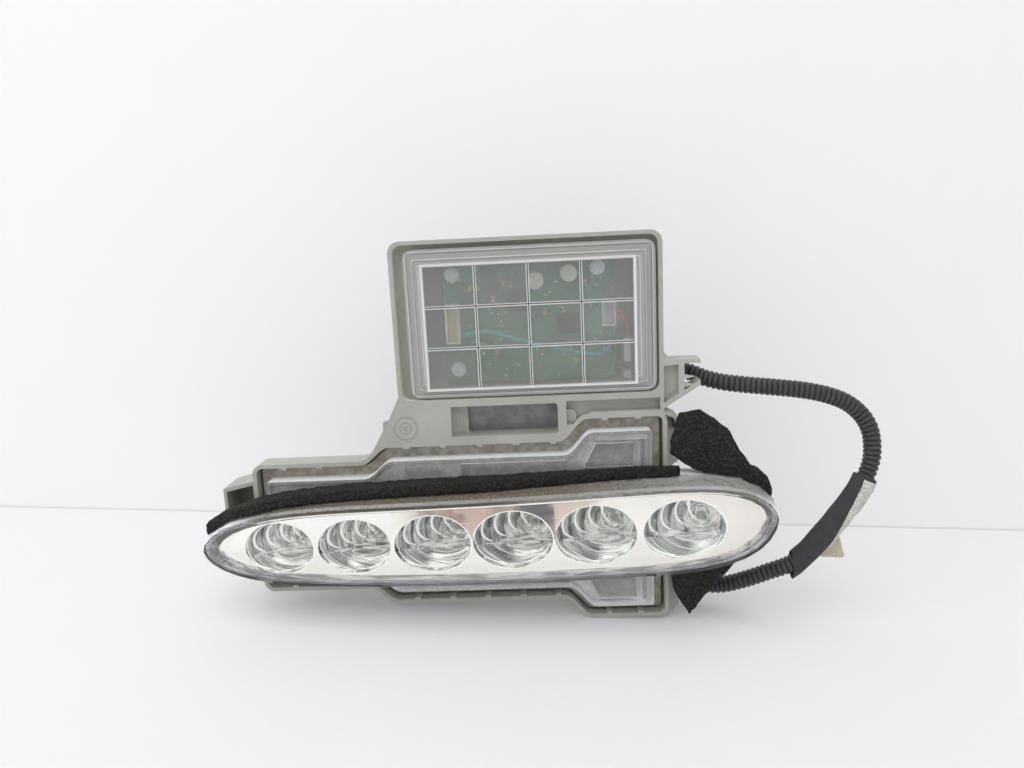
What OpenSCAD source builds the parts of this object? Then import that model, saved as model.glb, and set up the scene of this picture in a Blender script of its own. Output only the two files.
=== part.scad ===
// Daytime running light: a clear pointed-oval lens over six stepped reflector cups, glued into a
// stepped housing that also carries the driver box, a bracket and a conduit arm.
// X runs along the lamp, +Y points back into the car, +Z is up. The lens faces -Y.
// The origin is the mouth of the middle fixing boss on the back. Inside the modules, Y = 0 is the
// front of the housing's rims, and seat() moves the finished piece to the origin.

/* [Lamp rim] */
// X of the rim's left end
rim_left = -105; // [-112:0.5:-100]
// X of the rim's right end
rim_right = 101; // [96:0.5:106]
// Half height of the left step
half_h_left = 33.8; // [32:0.1:35]
// Half height of the middle step
half_h_mid = 42.3; // [41:0.1:44]
// Half height of the right step
half_h_right = 53.2; // [51:0.1:55]
// X where the first step starts
step_a = -50.5; // [-56:0.5:-46]
// X where the second step starts
step_b = 48; // [44:0.5:52]
// Length of a step's double curve
step_l = 14; // [10:0.5:18]
// Corner radius of the rim
rim_corner = 5; // [3:0.5:7]
// Wall of the rim
rim_wall = 2; // [1.6:0.1:2.4]
// Depth of the rim, back to the channel floor's far side
rim_depth = 12; // [10:0.5:15]
// Depth of the glue channel
channel_depth = 10; // [7:0.5:10]
// Distance from the rim's outside to the lens flange
channel_w = 8; // [7:0.1:9]
// Wall of the tub
tub_wall = 2.4; // [2:0.1:3]
// Depth of the tub behind the rim front
tub_depth = 40; // [36:1:46]

/* [Lens] */
// Length of the oval lens
lens_l = 279.5; // [272:0.5:286]
// X of the middle of the lens
lens_mid = 11.6; // [10:0.1:13]
// Height of the upper half
lens_up = 21; // [19:0.1:22]
// Height of the lower half
lens_down = 21.6; // [20:0.1:23]
// Distance from the seat plane to the lens front, at the middle
lens_proud = 26; // [24:0.5:29]
// How far the two ends sweep back
lens_bow = 9; // [6:0.5:11]
// Wall of the lens
lens_wall = 2.2; // [2:0.1:2.4]
// Thickness of the lens flange
flange_t = 2.4; // [2:0.1:3]
// How far the lens is wider at its base
lens_draft = 1.2; // [0.6:0.1:1.6]

/* [Reflector] */
// Height of the ridge along the bezel
bezel_roof = 2.4; // [1.6:0.1:3]
// Wall of the bezel
bezel_wall = 1.4; // [1.2:0.1:1.8]
// Width of the first cup
cup_w_first = 34.8; // [33.5:0.1:35.5]
// Width of the last cup
cup_w_last = 39.4; // [38:0.1:40.5]
// Radius of the hole for an emitter
led_hole_r = 2.6; // [2.4:0.1:3]
// Depth of the ring steps in a cup
cup_step = 1.5; // [0.6:0.1:2]

/* [Driver box] */
// Left, right, bottom and top of the box rim
box_x0 = -28.8; // [-32:0.2:-26]
// Right side of the box rim
box_x1 = 99.6; // [97:0.2:102]
// Distance from the lamp rim's highest step up to the box rim
box_lift = 8.2; // [7:0.2:10]
// Height of the box rim
box_h = 78.4; // [75:0.2:82]
// Wall of the box rim
box_wall = 1.9; // [1.6:0.1:2.3]
// Depth of the box
box_depth = 30; // [26:1:36]
// Depth of the gap round the cover
box_gap_depth = 6; // [4:0.5:8]
// Cells of the window along X
cells_x = 4; // [3:1:5]
// Cells of the window along Z
cells_z = 3; // [2:1:4]
// Width of a groove between cells
groove_w = 1; // [0.6:0.1:1.4]
// Distance from the rim front to the driver board
board_y = 12; // [10:0.5:15]
// Thickness of the circuit boards
board_t = 1.6; // [1.2:0.1:2]

/* [Bracket and arm] */
// Thickness of the bracket's web
web_t = 3; // [2.4:0.1:4]
// Depth of the frame round the opening
frame_depth = 11; // [9:0.5:13]
// Left side of the opening
open_x0 = -3.6; // [-6:0.2:-2]
// Right side of the opening
open_x1 = 48.4; // [46:0.2:49.4]
// Distance from the lamp rim's middle step up to the opening
open_lift = 2.3; // [2:0.1:3.4]
// Distance from the opening up to the box rim
open_drop = 1.8; // [1.6:0.1:3]
// Right end of the conduit arm
arm_x1 = 117; // [115:0.5:120]
// Height of the conduit arm's top above the bottom of the box
arm_h = 16.9; // [16:0.1:19]
// Depth of the conduit arm
arm_depth = 25; // [24:0.5:27]
// Wall of the arm's ribs
arm_wall = 1.8; // [1.5:0.1:2.2]

/* [Conduit and fixings] */
// Outside diameter of the conduit
conduit_d = 8.5; // [8:0.1:9]
// Radius of the fixing boss's hole
boss_hole_r = 2.1; // [1.8:0.05:2.3]
// Outer radius of a fixing boss
boss_r = 5.5; // [5:0.1:7]
// Length of a fixing boss behind the tub
boss_l = 8; // [6:0.5:12]
// Depth of the middle boss's hole
boss_hole_l = 7.5; // [6.5:0.5:7.5]
// Thickness of the foam
foam_t = 5; // [4:0.1:6]

/* [Hidden] */
$fn = 48;

fit = 0.3;
box_z0 = half_h_right + box_lift;
box_z1 = box_z0 + box_h;
open_z0 = half_h_mid + open_lift;
open_z1 = box_z0 - open_drop;
arm_top = box_z0 + arm_h;
lens_end_x = lens_mid + lens_l / 2;
eps = 0.01;
over = 1;
grey = [0.76, 0.76, 0.72];
clear = [0.86, 0.9, 0.92, 0.4];
origin_y = tub_depth + boss_l;

// Moves a finished piece so that the middle boss's mouth is the origin.
module seat() {
  translate([0, -origin_y, 0])
    children();
}

// The same for the box's contents, whose heights count from the bottom of the box rim.
module in_box() {
  translate([0, -origin_y, box_z0])
    children();
}

// Extrudes an outline drawn in X and Z from one depth to another.
module slab(y0, y1) {
  translate([0, y1, 0])
    rotate([90, 0, 0])
      linear_extrude(y1 - y0)
        children();
}

// A round bar along Y.
module bar(x, z, r, y0, y1) {
  translate([x, y1, z])
    rotate([90, 0, 0])
      cylinder(r = r, h = y1 - y0);
}

// A round bar along X.
module bar_x(y, z, r, x0, x1) {
  translate([x0, y, z])
    rotate([0, 90, 0])
      cylinder(r = r, h = x1 - x0);
}

function corner(x, z, r, a0, a1, n) =
  [for (i = [0:n]) let (a = a0 + (a1 - a0) * i / n) [x + r * cos(a), z + r * sin(a)]];

// A rectangle with round corners, drawn anticlockwise.
function round_rect(x0, x1, z0, z1, r) = concat(
  corner(x1 - r, z0 + r, r, -90, 0, 4), corner(x1 - r, z1 - r, r, 0, 90, 4),
  corner(x0 + r, z1 - r, r, 90, 180, 4), corner(x0 + r, z0 + r, r, 180, 270, 4));

function ellipse_points(cx, cz, w, h, n) =
  [for (i = [0:n - 1]) [cx + w / 2 * cos(360 * i / n), cz + h / 2 * sin(360 * i / n)]];

// The stepped outline of the lamp's rim. It is the same above and below the middle line.
step_points = 8;
step_lean = 0.36;

function step_curve(x, z0, z1) =
  [for (i = [0:step_points]) let (t = i / step_points)
    [x + step_l * t, z0 + (z1 - z0) * (1 - cos(180 * t)) / 2]];

function rim_upper(d) = let (r = max(rim_corner - d, 1), k = step_lean * d) concat(
  corner(rim_left + d + r, half_h_left - d - r, r, 180, 90, 4),
  step_curve(step_a + k, half_h_left - d, half_h_mid - d),
  step_curve(step_b + k, half_h_mid - d, half_h_right - d),
  corner(rim_right - d - r, half_h_right - d - r, r, 90, 0, 4));

function flipped(points) =
  [for (i = [len(points) - 1:-1:0]) [points[i][0], -points[i][1]]];

module rim_shape(d) {
  upper = rim_upper(d);
  polygon(concat(upper, flipped(upper)));
}

// The pointed oval. u runs from -1 at the left tip to 1 at the right tip.
tip_left = -4.2;
tip_right = 2.6;
power_up_left = 4.9;
power_up_right = 7.4;
power_down_left = 6;
power_down_right = 8;
oval_root = 0.56;
down_gain = 2.9;
stations = 26;

function oval_power(u, side) = side > 0 ? (u < 0 ? power_up_left : power_up_right)
  : (u < 0 ? power_down_left : power_down_right);
function oval(u, side) = pow(max(0, 1 - pow(abs(u), oval_power(u, side))), oval_root);
function tip_line(u) = (tip_left + tip_right) / 2 + (tip_right - tip_left) / 2 * u;
function half_h(u, side) = side > 0 ? lens_up : lens_down + down_gain * u;
function spaced(i) = -cos(180 * i / stations);
function u_at(x) = (x - lens_mid) / (lens_l / 2);

// Stations round the oval: the upper side from left to right, then back along the lower side.
function round_trip() = concat([for (i = [0:stations]) [spaced(i), 1]],
  [for (i = [stations - 1:-1:1]) [spaced(i), -1]]);

// A point of the oval. It is inset by d, its height is scaled by s, and m holds the oval's move
// along X, its move along Z and its extra inset at the tips.
lens_move = [0, 0, 0];
bezel_move = [1.1, -1.05, 2.3];
function oval_xz(d, s, t, m) = [lens_mid + m[0] + (lens_l / 2 - d - m[2]) * t[0],
  tip_line(t[0]) + m[1] + s * t[1] * (half_h(t[0], t[1]) - d) * oval(t[0], t[1])];

function oval_outline(d, m = lens_move) = [for (t = round_trip()) oval_xz(d, 1, t, m)];

// A closed ring of the loft: inset d, height share s, depth y with bow and crown.
function oval_ring(d, s, y, bow, crown) = [for (t = round_trip())
  let (p = oval_xz(d, s, t, lens_move))
    [p[0], y + bow * t[0] * t[0] - crown * (1 - s * s) * oval(t[0], 1), p[1]]];

// A roof ring of the bezel: the same, but the crown rises evenly to a ridge.
function roof_ring(d, s, y, bow, roof) = [for (t = round_trip())
  let (p = oval_xz(d, s, t, bezel_move))
    [p[0], y + bow * t[0] * t[0] - roof * (1 - s) * oval(t[0], 1), p[1]]];

// Skins a list of rings into one closed solid. The first and last rings are ridge lines.
module loft(rings) {
  n = len(rings[0]);
  points = [for (r = rings) each r];
  faces = [for (k = [0:len(rings) - 2], i = [0:n - 1])
    let (a = k * n + i, b = k * n + (i + 1) % n, c = b + n, d = a + n)
      each [[a, b, c], [a, c, d]]];
  polyhedron(points = points, faces = faces, convexity = 8);
}

// The six reflector cups, from left to right.
cup_x = [-88.6, -51.1, -13.3, 24.8, 63.9, 105.7];
cup_z = [-3.4, -2.3, -1.6, -0.7, -0.1, -0.1];
cup_h = [25.3, 26.5, 27.7, 27.9, 28.8, 28.8];
cup_n = len(cup_x);
cup_rim = 1;
cup_bottom_y = -3;
bowl_shift_x = 0.265;
bowl_shift_z = 0.05;
smile_shift_x = 0.155;
smile_shift_z = 0.38;
bowl_radii = [0, 0.085, 0.225, 0.39, 0.56, 0.68, 0.95];
smile_radii = [0, 0.3, 0.465, 0.56, 0.68, 1];
divide = -0.16;
lower_share = 0.5;
cup_sides = 36;

function cup_w(i) = cup_w_first + (cup_w_last - cup_w_first) * i / (cup_n - 1);
function bowl_x(i) = cup_x[i] + bowl_shift_x * cup_w(i);
function bowl_z(i) = cup_z[i] + bowl_shift_z * cup_h[i];

// Depths of the lens and of the bezel.
bezel_inset = lens_wall + 1.55;
bezel_gap = 0.6;
bezel_y = -lens_proud + lens_wall + bezel_gap + bezel_roof;
crown = 1;
board_front_y = -board_t;
bezel_back_y = board_front_y;

function bezel_front(x) = bezel_y - bezel_roof + lens_bow * u_at(x) * u_at(x);

// The driver box: the gap between rim and cover, then the inner tub that the cover sits on.
cover_x0 = box_x0 + 6.6;
cover_x1 = box_x1 - 3.2;
cover_z0 = box_z0 + 2.8;
cover_z1 = box_z1 - 4.2;
cover_corner = 5;
cover_step = 2.4;
cover_front = -1.4;
window_rise = 0.5;
window_edge = 1.6;
groove_depth = 0.7;
cover_seat = 3;
box_corner = 5.5;
inner_inset = 1.6;
box_in_x0 = cover_x0 + inner_inset;
box_in_x1 = cover_x1 - inner_inset;
box_in_z0 = cover_z0 + inner_inset;
box_in_z1 = cover_z1 - inner_inset;
window_x0 = cover_x0 + 9;
window_x1 = cover_x1 - 10;
window_z0 = cover_z0 + 4.4;
window_z1 = cover_z1 - 7.6;

// Positions on the driver board.
board_x0 = -5.5;
board_x1 = 78;
board_z0 = 7.6;
board_z1 = 68.6;
screw_spots = [[-0.2, 61.2], [70, 61.8], [0.4, 14.8]];
screw_head_r = 3.6;
screw_r = 1.5;
post_r = 3.2;

// The arm that holds the conduit.
arm_drop = 7.6;
arm_slope = 0.62;
arm_edge = 2.6;
arm_rib_x = box_x1 + 8;
arm_recess = 4;
arm_front = 9;
arm_top_depth = 12;
tooth_l = 5;

function arm_low(x) = [x, box_z0 - arm_drop + (x - box_x1 + arm_wall) * arm_slope];
function over_low(x) = arm_low(x) + [0, arm_edge];

// The bracket.
web_left_top = [box_x0 + 0.4, box_z0 + 4.6];
web_left_mid = [box_x0 - 5.2, box_z0 - 6.4];
web_left_low = [step_a + 5.5, half_h_left + 2.2];
ring_x = -26.1;
ring_z = box_z0 - 11.6;
ring_r = 6.2;
frame_wall = 1.8;
ramp_r = 7.6;
pocket_x0 = 52.6;
pocket_z1 = box_z0 - 1;
pocket_floor = 5;

// The left ear, open at the front.
ear_x0 = -122;
ear_z0 = 4;
ear_z1 = 21;
ear_rise = 4;
ear_y0 = 3;
ear_y1 = 22;
ear_wall = 1.6;

// Fixing bosses and ribs on the back.
// Each boss: X, Z and how much shallower its hole is than the middle one's.
boss_spots = [[0, 0, 0], [-78, 0, 0.5], [76, -22, 1]];
rib_h = 3;

// The two grommets that the conduit's ends meet.
grommet_y = 18;
grommet_z = box_z0 + 10.2;
grommet_hole_r = 6;
grommet_l = 9;
lamp_grommet_y = 18;
lamp_grommet_z = 8.4 - half_h_right;
lamp_grommet_r = 4.5;
lamp_grommet_l = 4.6;
cheek_x = rim_right + 7;

// The conduit's route, from the box grommet round to the lamp grommet.
start_x = box_in_x1 + fit + grommet_l;
end_x = cheek_x + lamp_grommet_l;
route = [[start_x + 2, grommet_y, grommet_z], [115, 17, 69], [122, 15.6, 66.1], [131, 13.3, 63.9],
  [144, 11.6, 62.2], [157, 10.6, 60.7], [169, 10, 59], [180, 9.8, 56.3], [189, 9.6, 52.5],
  [196.2, 9.4, 46.6], [200.9, 9, 39], [202.5, 8.6, 30.6], [201.9, 8, 21.6], [197.6, 7, 11],
  [190.6, 6, 1], [184.2, 5.6, -7.5], [177.9, 5.6, -15.8], [171.2, 5.6, -23.4],
  [163.3, 6.2, -29.8], [153.8, 8.4, -34.4], [144.8, 10.6, -38.7], [136.1, 13.4, -42.6],
  [128.5, 15.8, -44.8], [end_x + 2, lamp_grommet_y, lamp_grommet_z]];
route_steps = 3;

function catmull(p0, p1, p2, p3, t) = 0.5 * ((2 * p1) + (p2 - p0) * t
  + (2 * p0 - 5 * p1 + 4 * p2 - p3) * t * t + (3 * p1 - p0 - 3 * p2 + p3) * t * t * t);

function smooth_line(p, n) = let (m = len(p) - 1) concat(
  [for (i = [0:m - 1], k = [0:n - 1])
    catmull(p[max(i - 1, 0)], p[i], p[i + 1], p[min(i + 2, m)], k / n)], [p[m]]);

function unit(v) = v / norm(v);
function tangent(p, i) = unit(p[min(i + 1, len(p) - 1)] - p[max(i - 1, 0)]);

// One ring of a tube round point i of a line: w across and t deep along Y, turned by roll.
function tube_ring(p, i, w, t, sides, roll) = let (
  d = tangent(p, i), up = [0, 1, 0], a = unit(cross(up, d)), b = cross(d, a))
    [for (k = [0:sides - 1]) let (g = 360 * k / sides + roll)
      p[i] + a * w * cos(g) + b * t * sin(g)];

// A solid tube along a line of points.
module tube(p, r, sides) {
  n = len(p);
  rings = [for (i = [0:n - 1]) each tube_ring(p, i, r, r, sides, 0)];
  sleeve = [for (i = [0:n - 2], k = [0:sides - 1])
    let (a = i * sides + k, b = i * sides + (k + 1) % sides)
      each [[a, a + sides, b + sides], [a, b + sides, b]]];
  start_cap = [for (k = [1:sides - 2]) [0, k, k + 1]];
  last = (n - 1) * sides;
  end_cap = [for (k = [1:sides - 2]) [last, last + k + 1, last + k]];
  polyhedron(points = rings, faces = concat(sleeve, start_cap, end_cap), convexity = 6);
}

// A hollow sleeve along a line: half width w and half depth t outside, hole radius r.
module sleeve(p, w, t, r, sides) {
  n = len(p);
  outer = [for (i = [0:n - 1]) each tube_ring(p, i, w, t, sides, 0)];
  inner = [for (i = [0:n - 1]) each tube_ring(p, i, r, r, sides, 0)];
  off = n * sides;
  last = (n - 1) * sides;
  walls = [for (i = [0:n - 2], k = [0:sides - 1])
    let (a = i * sides + k, b = i * sides + (k + 1) % sides)
      each [[a, a + sides, b + sides], [a, b + sides, b],
        [off + a, off + b + sides, off + a + sides], [off + a, off + b, off + b + sides]]];
  ends = [for (k = [0:sides - 1]) let (b = (k + 1) % sides)
    each [[k, b, off + b], [k, off + b, off + k],
      [last + k, off + last + b, last + b], [last + k, off + last + k, off + last + b]]];
  polyhedron(points = concat(outer, inner), faces = concat(walls, ends), convexity = 8);
}

line = concat([[start_x, grommet_y, grommet_z]], smooth_line(route, route_steps),
  [[end_x, lamp_grommet_y, lamp_grommet_z]]);
tape_from = 39;
tape_to = 55;

// Housing

module lamp_tub() {
  difference() {
    union() {
      slab(0, rim_depth)
        rim_shape(0);
      slab(rim_depth - eps, tub_depth)
        rim_shape(channel_w + lens_wall + fit);
      cheek();
    }
    slab(-over, channel_depth)
      difference() {
        rim_shape(rim_wall);
        rim_shape(channel_w + lens_wall + fit);
      }
    slab(-over, tub_depth - tub_wall)
      rim_shape(channel_w + lens_wall + fit + tub_wall);
  }
  rim_nubs();
  rim_curl();
}

// The curled lip at the rim's upper right corner.
curl_r = 7;
curl_t = 1.6;

module rim_curl() {
  x = cheek_x - 1 - curl_r;
  z = half_h_right - curl_r;
  slab(0.5, rim_depth)
    polygon(concat(corner(x, z, curl_r, 90, 0, 8), [[x + curl_r, z - 3]],
      [[x + curl_r - curl_t, z - 3]], corner(x, z, curl_r - curl_t, 0, 90, 8)));
}

// The flared wall at the right end, which the conduit's grommet sits in.
cheek_y = 26;
cheek_z0 = 0.4 - half_h_right;
cheek_z1 = -6;
cheek_top_z = 48;

module cheek() {
  translate([0, 0, cheek_z0])
    linear_extrude(cheek_z1 - cheek_z0)
      cheek_plan();
  translate([0, 0, cheek_top_z - (cheek_z1 - cheek_z0) / 2])
    linear_extrude((cheek_z1 - cheek_z0) / 2)
      cheek_plan();
}

module cheek_plan() {
  polygon([[rim_right - channel_w, rim_depth], [rim_right - rim_wall, 1.5], [rim_right, 1.5],
    [cheek_x, rim_depth], [cheek_x, cheek_y], [rim_right - channel_w - tub_wall, cheek_y + 6]]);
}

// Small nubs on the inside of the rim that centre the lens flange.
nub_pitch = 18;
nub_w = 3;
nub_d = 1;

module rim_nubs() {
  for (side = [-1, 1]) {
    for (x = [rim_left + 16:nub_pitch:step_a - 4])
      nub(x, side * (half_h_left - rim_wall));
    for (x = [step_a + step_l + 10:nub_pitch:step_b - 2])
      nub(x, side * (half_h_mid - rim_wall));
    for (x = [step_b + step_l + 9:nub_pitch - 2:rim_right - 8])
      nub(x, side * (half_h_right - rim_wall));
  }
}

module nub(x, z) {
  translate([x - nub_w / 2, 0, z - nub_d])
    cube([nub_w, channel_depth + eps, 2 * nub_d]);
}

// Pans behind the two ends of the lens, where it reaches past the rim.
pan_t = 2.6;
pan_edge = 0.8;

module lens_pans() {
  difference() {
    slab(0, pan_t)
      polygon(oval_outline(-lens_draft - pan_edge));
    slab(-over, pan_t + over)
      rim_shape(rim_wall / 2);
  }
  for (z = [-12, 2, 14])
    pan_rib(rim_right - rim_wall / 2, lens_mid + lens_l / 2 - 8 - abs(z), z);
  pan_rib(rim_left + rim_wall / 2, lens_mid - lens_l / 2 + 8, -3);
}

module pan_rib(x0, x1, z) {
  translate([0, 0, z - 0.8])
    linear_extrude(1.6)
      polygon([[x0, pan_t / 2], [x1, pan_t / 2], [x1, pan_t + 1], [x0, rim_depth]]);
}

module driver_box() {
  difference() {
    union() {
      slab(0, box_gap_depth + 2)
        polygon(round_rect(box_x0, box_x1, box_z0, box_z1, box_corner));
      slab(box_gap_depth, box_depth)
        polygon(round_rect(box_in_x0, box_in_x1, box_in_z0, box_in_z1, cover_corner - 1));
    }
    slab(-over, box_gap_depth)
      difference() {
        polygon(round_rect(box_x0 + box_wall, box_x1 - box_wall, box_z0 + box_wall,
          box_z1 - box_wall, box_corner - 1.5));
        polygon(round_rect(box_in_x0, box_in_x1, box_in_z0, box_in_z1, cover_corner - 1));
      }
    slab(-over, cover_seat)
      polygon(round_rect(box_in_x0 - eps, box_in_x1 + eps, box_in_z0 - eps, box_in_z1 + eps,
        cover_corner - 1));
    slab(-over, box_depth - tub_wall)
      polygon(round_rect(box_in_x0 + tub_wall, box_in_x1 - tub_wall, box_in_z0 + tub_wall,
        box_in_z1 - tub_wall, cover_corner - 2));
    box_grommet_hole();
  }
  for (s = screw_spots)
    board_post([s[0], box_z0 + s[1]]);
}

module board_post(s) {
  difference() {
    bar(s[0], s[1], post_r, board_y + board_t, box_depth - tub_wall / 2);
    bar(s[0], s[1], screw_r, board_y, board_y + board_t + board_screw_l + over);
  }
}

module box_grommet_hole() {
  bar_x(grommet_y, grommet_z, grommet_hole_r, box_in_x1 - tub_wall - over, box_in_x1 + over);
}

// The web between box and lamp, with the framed opening.
module bracket() {
  difference() {
    union() {
      slab(0, web_t)
        web_outline();
      slab(0, frame_depth)
        polygon([[open_x0 - 1, open_z0 - frame_wall], [open_x1 + frame_wall + 1.4,
          open_z0 - frame_wall], [open_x1 + frame_wall + 1.4, open_z1 + frame_wall],
          [open_x0 - 1, open_z1 + frame_wall]]);
      bar(ring_x, ring_z, ring_r, -0.3, web_t);
      pocket_frame();
      web_ribs();
    }
    opening_cut();
    ring_marks();
    pocket_cut();
    slab(-over, channel_depth)
      rim_shape(rim_wall);
    slab(rim_wall, frame_depth + over)
      rim_shape(rim_wall);
    slab(-over, box_gap_depth + 1)
      polygon(round_rect(box_x0 + box_wall, box_x1 - box_wall, box_z0 + box_wall,
        box_z1 - box_wall, box_corner - 1.5));
  }
}

module web_outline() {
  polygon([web_left_low, [step_a + step_l, half_h_mid - rim_wall], [step_b, half_h_mid - rim_wall],
    [step_b + step_l, half_h_right - rim_wall], [rim_right - rim_corner,
    half_h_right - rim_wall], [rim_right - 0.4, half_h_right - rim_corner - 2],
    [box_x1, half_h_right + 2], [box_x1, box_z0 + box_corner], [box_x1 - 4, box_z0 + box_wall],
    [box_x0 + 6, box_z0 + box_wall], web_left_top, web_left_mid]);
}

// The opening has a quarter-round ramp on its left and square walls elsewhere.
module opening_cut() {
  slab(-over, frame_depth + over)
    polygon(round_rect(open_x0 + ramp_r, open_x1, open_z0, open_z1, 1.6));
  translate([0, 0, open_z0])
    linear_extrude(open_z1 - open_z0)
      polygon(concat([[open_x0 + ramp_r + 2, -over], [open_x0, -over]],
        corner(open_x0 + ramp_r, 0, ramp_r, 180, 90, 6), [[open_x0 + ramp_r + 2, ramp_r]]));
}

module ring_marks() {
  for (r = [ring_r - 0.5, 3, 1.2])
    translate([ring_x, -0.3 - eps, ring_z])
      rotate([-90, 0, 0])
        difference() {
          cylinder(r = r, h = 0.3);
          translate([0, 0, -over])
            cylinder(r = r - 0.5, h = 2 * over);
        }
}

module pocket_outline(d) {
  polygon([[pocket_x0 + d, open_z0 + 4 + d], [pocket_x0 + 7 - d / 2, open_z0 + 4 + d],
    [step_b + step_l + 2, half_h_right + 1.2 + d], [box_x1 - arm_wall - d,
    half_h_right + 1.2 + d], [box_x1 - arm_wall - d, pocket_z1 - d], [pocket_x0 + d,
    pocket_z1 - d]]);
}

module pocket_frame() {
  slab(0, pocket_floor + 2)
    pocket_outline(-1.4);
}

module pocket_cut() {
  slab(-over, pocket_floor)
    pocket_outline(0);
}

// Two bosses that take the back plate's screws.
module plate_bosses() {
  for (p = plate_screws)
    bar(p[0], p[1], 3.6, web_t - eps, frame_depth);
}

module plate_screw_holes() {
  for (p = plate_screws)
    bar(p[0], p[1], plate_screw_r + 0.1, frame_depth - plate_hole_l, frame_depth + over);
}

// Upright ribs on the back of the web.
web_ribs_x = [-38, -30, -16];

module web_ribs() {
  for (x = web_ribs_x)
    translate([x, web_t - eps, half_h_mid - rim_wall])
      cube([1.6, 5, 12]);
}

// The arm: a framed channel that is open to the right, with two teeth for the conduit.
module conduit_arm() {
  difference() {
    slab(0, arm_depth)
      polygon([arm_low(box_x1 - arm_wall), arm_low(arm_x1), [arm_x1, arm_top],
        [box_x1 - arm_wall, arm_top]]);
    slab(-over, arm_recess)
      polygon([over_low(box_x1 + eps), over_low(arm_rib_x - 1), [arm_rib_x - 1, arm_top - 2.2],
        [box_x1 + eps, arm_top - 2.8]]);
    slab(-over, arm_depth + over)
      polygon([over_low(arm_rib_x + arm_wall), over_low(arm_x1 + over),
        [arm_x1 + over, arm_top - arm_wall], [arm_rib_x + arm_wall, arm_top - arm_wall]]);
    slab(arm_recess + 2, arm_depth + over)
      polygon([[box_in_x1 + eps, box_z0 - 0.9], over_low(arm_rib_x + arm_wall + 1),
        [arm_rib_x + arm_wall + 1, arm_top - arm_wall], [box_in_x1 + eps, arm_top - arm_wall]]);
    slab(arm_front, arm_depth + over)
      polygon([arm_low(box_x1 + 4) - [0, 3], arm_low(arm_x1 + over) - [0, 3],
        [arm_x1 + over, arm_top - arm_wall], [box_x1 + 4, arm_top - arm_wall]]);
    slab(arm_top_depth, arm_depth + over)
      polygon([[box_x1 + 4, arm_top - arm_wall - 2], [arm_x1 + over, arm_top - arm_wall - 2],
        [arm_x1 + over, arm_top + over], [box_x1 + 4, arm_top + over]]);
  }
  for (z = [box_z0 + 4.6, box_z0 + 8.5])
    translate([arm_rib_x + arm_wall - eps, 0.2, z])
      rotate([-90, 0, 0])
        linear_extrude(2.4)
          polygon([[0, -1.1], [tooth_l, 0], [0, 1.1]]);
  slab(box_gap_depth, arm_depth)
    polygon([[box_x1 - arm_wall - 4, box_z0 - 5.9], arm_low(box_x1 - arm_wall),
      [box_x1, box_z0 - 4.4],
      [box_x1, box_z0 - 1.4], [box_x1 - arm_wall - 4, box_z0 - 1.4]]);
}

module left_ear() {
  difference() {
    translate([0, ear_y1, 0])
      rotate([90, 0, 0])
        linear_extrude(ear_y1 - ear_y0)
          polygon([[ear_x0, ear_z0], [rim_left + eps, ear_z0], [rim_left + eps,
            ear_z1 + ear_rise], [ear_x0, ear_z1]]);
    slab(ear_y0 - over, ear_y1 - ear_wall)
      polygon([[ear_x0 + ear_wall, ear_z0 + ear_wall], [rim_left - ear_wall,
        ear_z0 + ear_wall], [rim_left - ear_wall, ear_z1 - ear_wall + ear_rise * 0.8],
        [ear_x0 + ear_wall, ear_z1 - ear_wall]]);
  }
  slab(channel_depth + 0.5, ear_y1)
    polygon([[rim_left - 2, ear_z0 + 1], [rim_left + channel_w + lens_wall + 1, ear_z0 + 1],
      [rim_left + channel_w + lens_wall + 1, ear_z1], [rim_left - 2, ear_z1]]);
}

module fixing_bosses() {
  for (b = boss_spots) {
    difference() {
      bar(b[0], b[1], boss_r, tub_depth - eps, tub_depth + boss_l);
      bar(b[0], b[1], boss_hole_r, tub_depth + boss_l - boss_hole_l + b[2], origin_y + over);
    }
    for (a = [0, 90, 180, 270])
      translate([b[0], tub_depth - eps, b[1]])
        rotate([0, a + 45, 0])
          translate([boss_r - 0.6, 0, -0.8])
            cube([5, boss_l - 3, 1.6]);
  }
}

back_rib_x = [-62, -44, -26, 26, 44, 60];

module back_ribs() {
  reach = half_h_mid - channel_w - lens_wall - 6;
  for (x = back_rib_x)
    translate([x - 0.8, tub_depth - eps, -reach + 8])
      cube([1.6, rib_h, 2 * reach - 16]);
  for (z = [-reach + 8, reach - 8])
    translate([back_rib_x[0], tub_depth - eps, z - 0.8])
      cube([back_rib_x[5] - back_rib_x[0], rib_h, 1.6]);
}

module housing() {
  color(grey)
    seat() {
      difference() {
        union() {
          lamp_tub();
          driver_box();
          bracket();
          plate_bosses();
          conduit_arm();
          left_ear();
          lens_pans();
          fixing_bosses();
          back_ribs();
        }
        lamp_grommet_hole();
        plate_screw_holes();
      }
    }
}

module lamp_grommet_hole() {
  bar_x(lamp_grommet_y, lamp_grommet_z, lamp_grommet_r, cheek_x - 5, cheek_x + over);
}

// Lens

module outer_lens() {
  color(clear)
    seat()
      union() {
        lens_dome();
        lens_flange();
      }
}

// The dome is one closed skin: down the inside to the base, then up the outside to the front.
module lens_dome() {
  front = -lens_proud;
  inside = front + lens_wall;
  loft([
    oval_ring(lens_wall + 1, 0, inside, lens_bow, crown),
    oval_ring(lens_wall + 1, 0.6, inside, lens_bow, crown),
    oval_ring(lens_wall + 1, 1, inside, lens_bow, 0),
    oval_ring(lens_wall, 1, front + 5, lens_bow, 0),
    oval_ring(lens_wall - lens_draft, 1, 0, 0, 0), oval_ring(-lens_draft, 1, 0, 0, 0),
    oval_ring(0, 1, front + 3.2, lens_bow, 0), oval_ring(1, 1, front + 1, lens_bow, 0),
    oval_ring(3, 1, front, lens_bow, 0), oval_ring(3, 0.6, front, lens_bow, crown),
    oval_ring(3, 0, front, lens_bow, crown)]);
}

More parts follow.
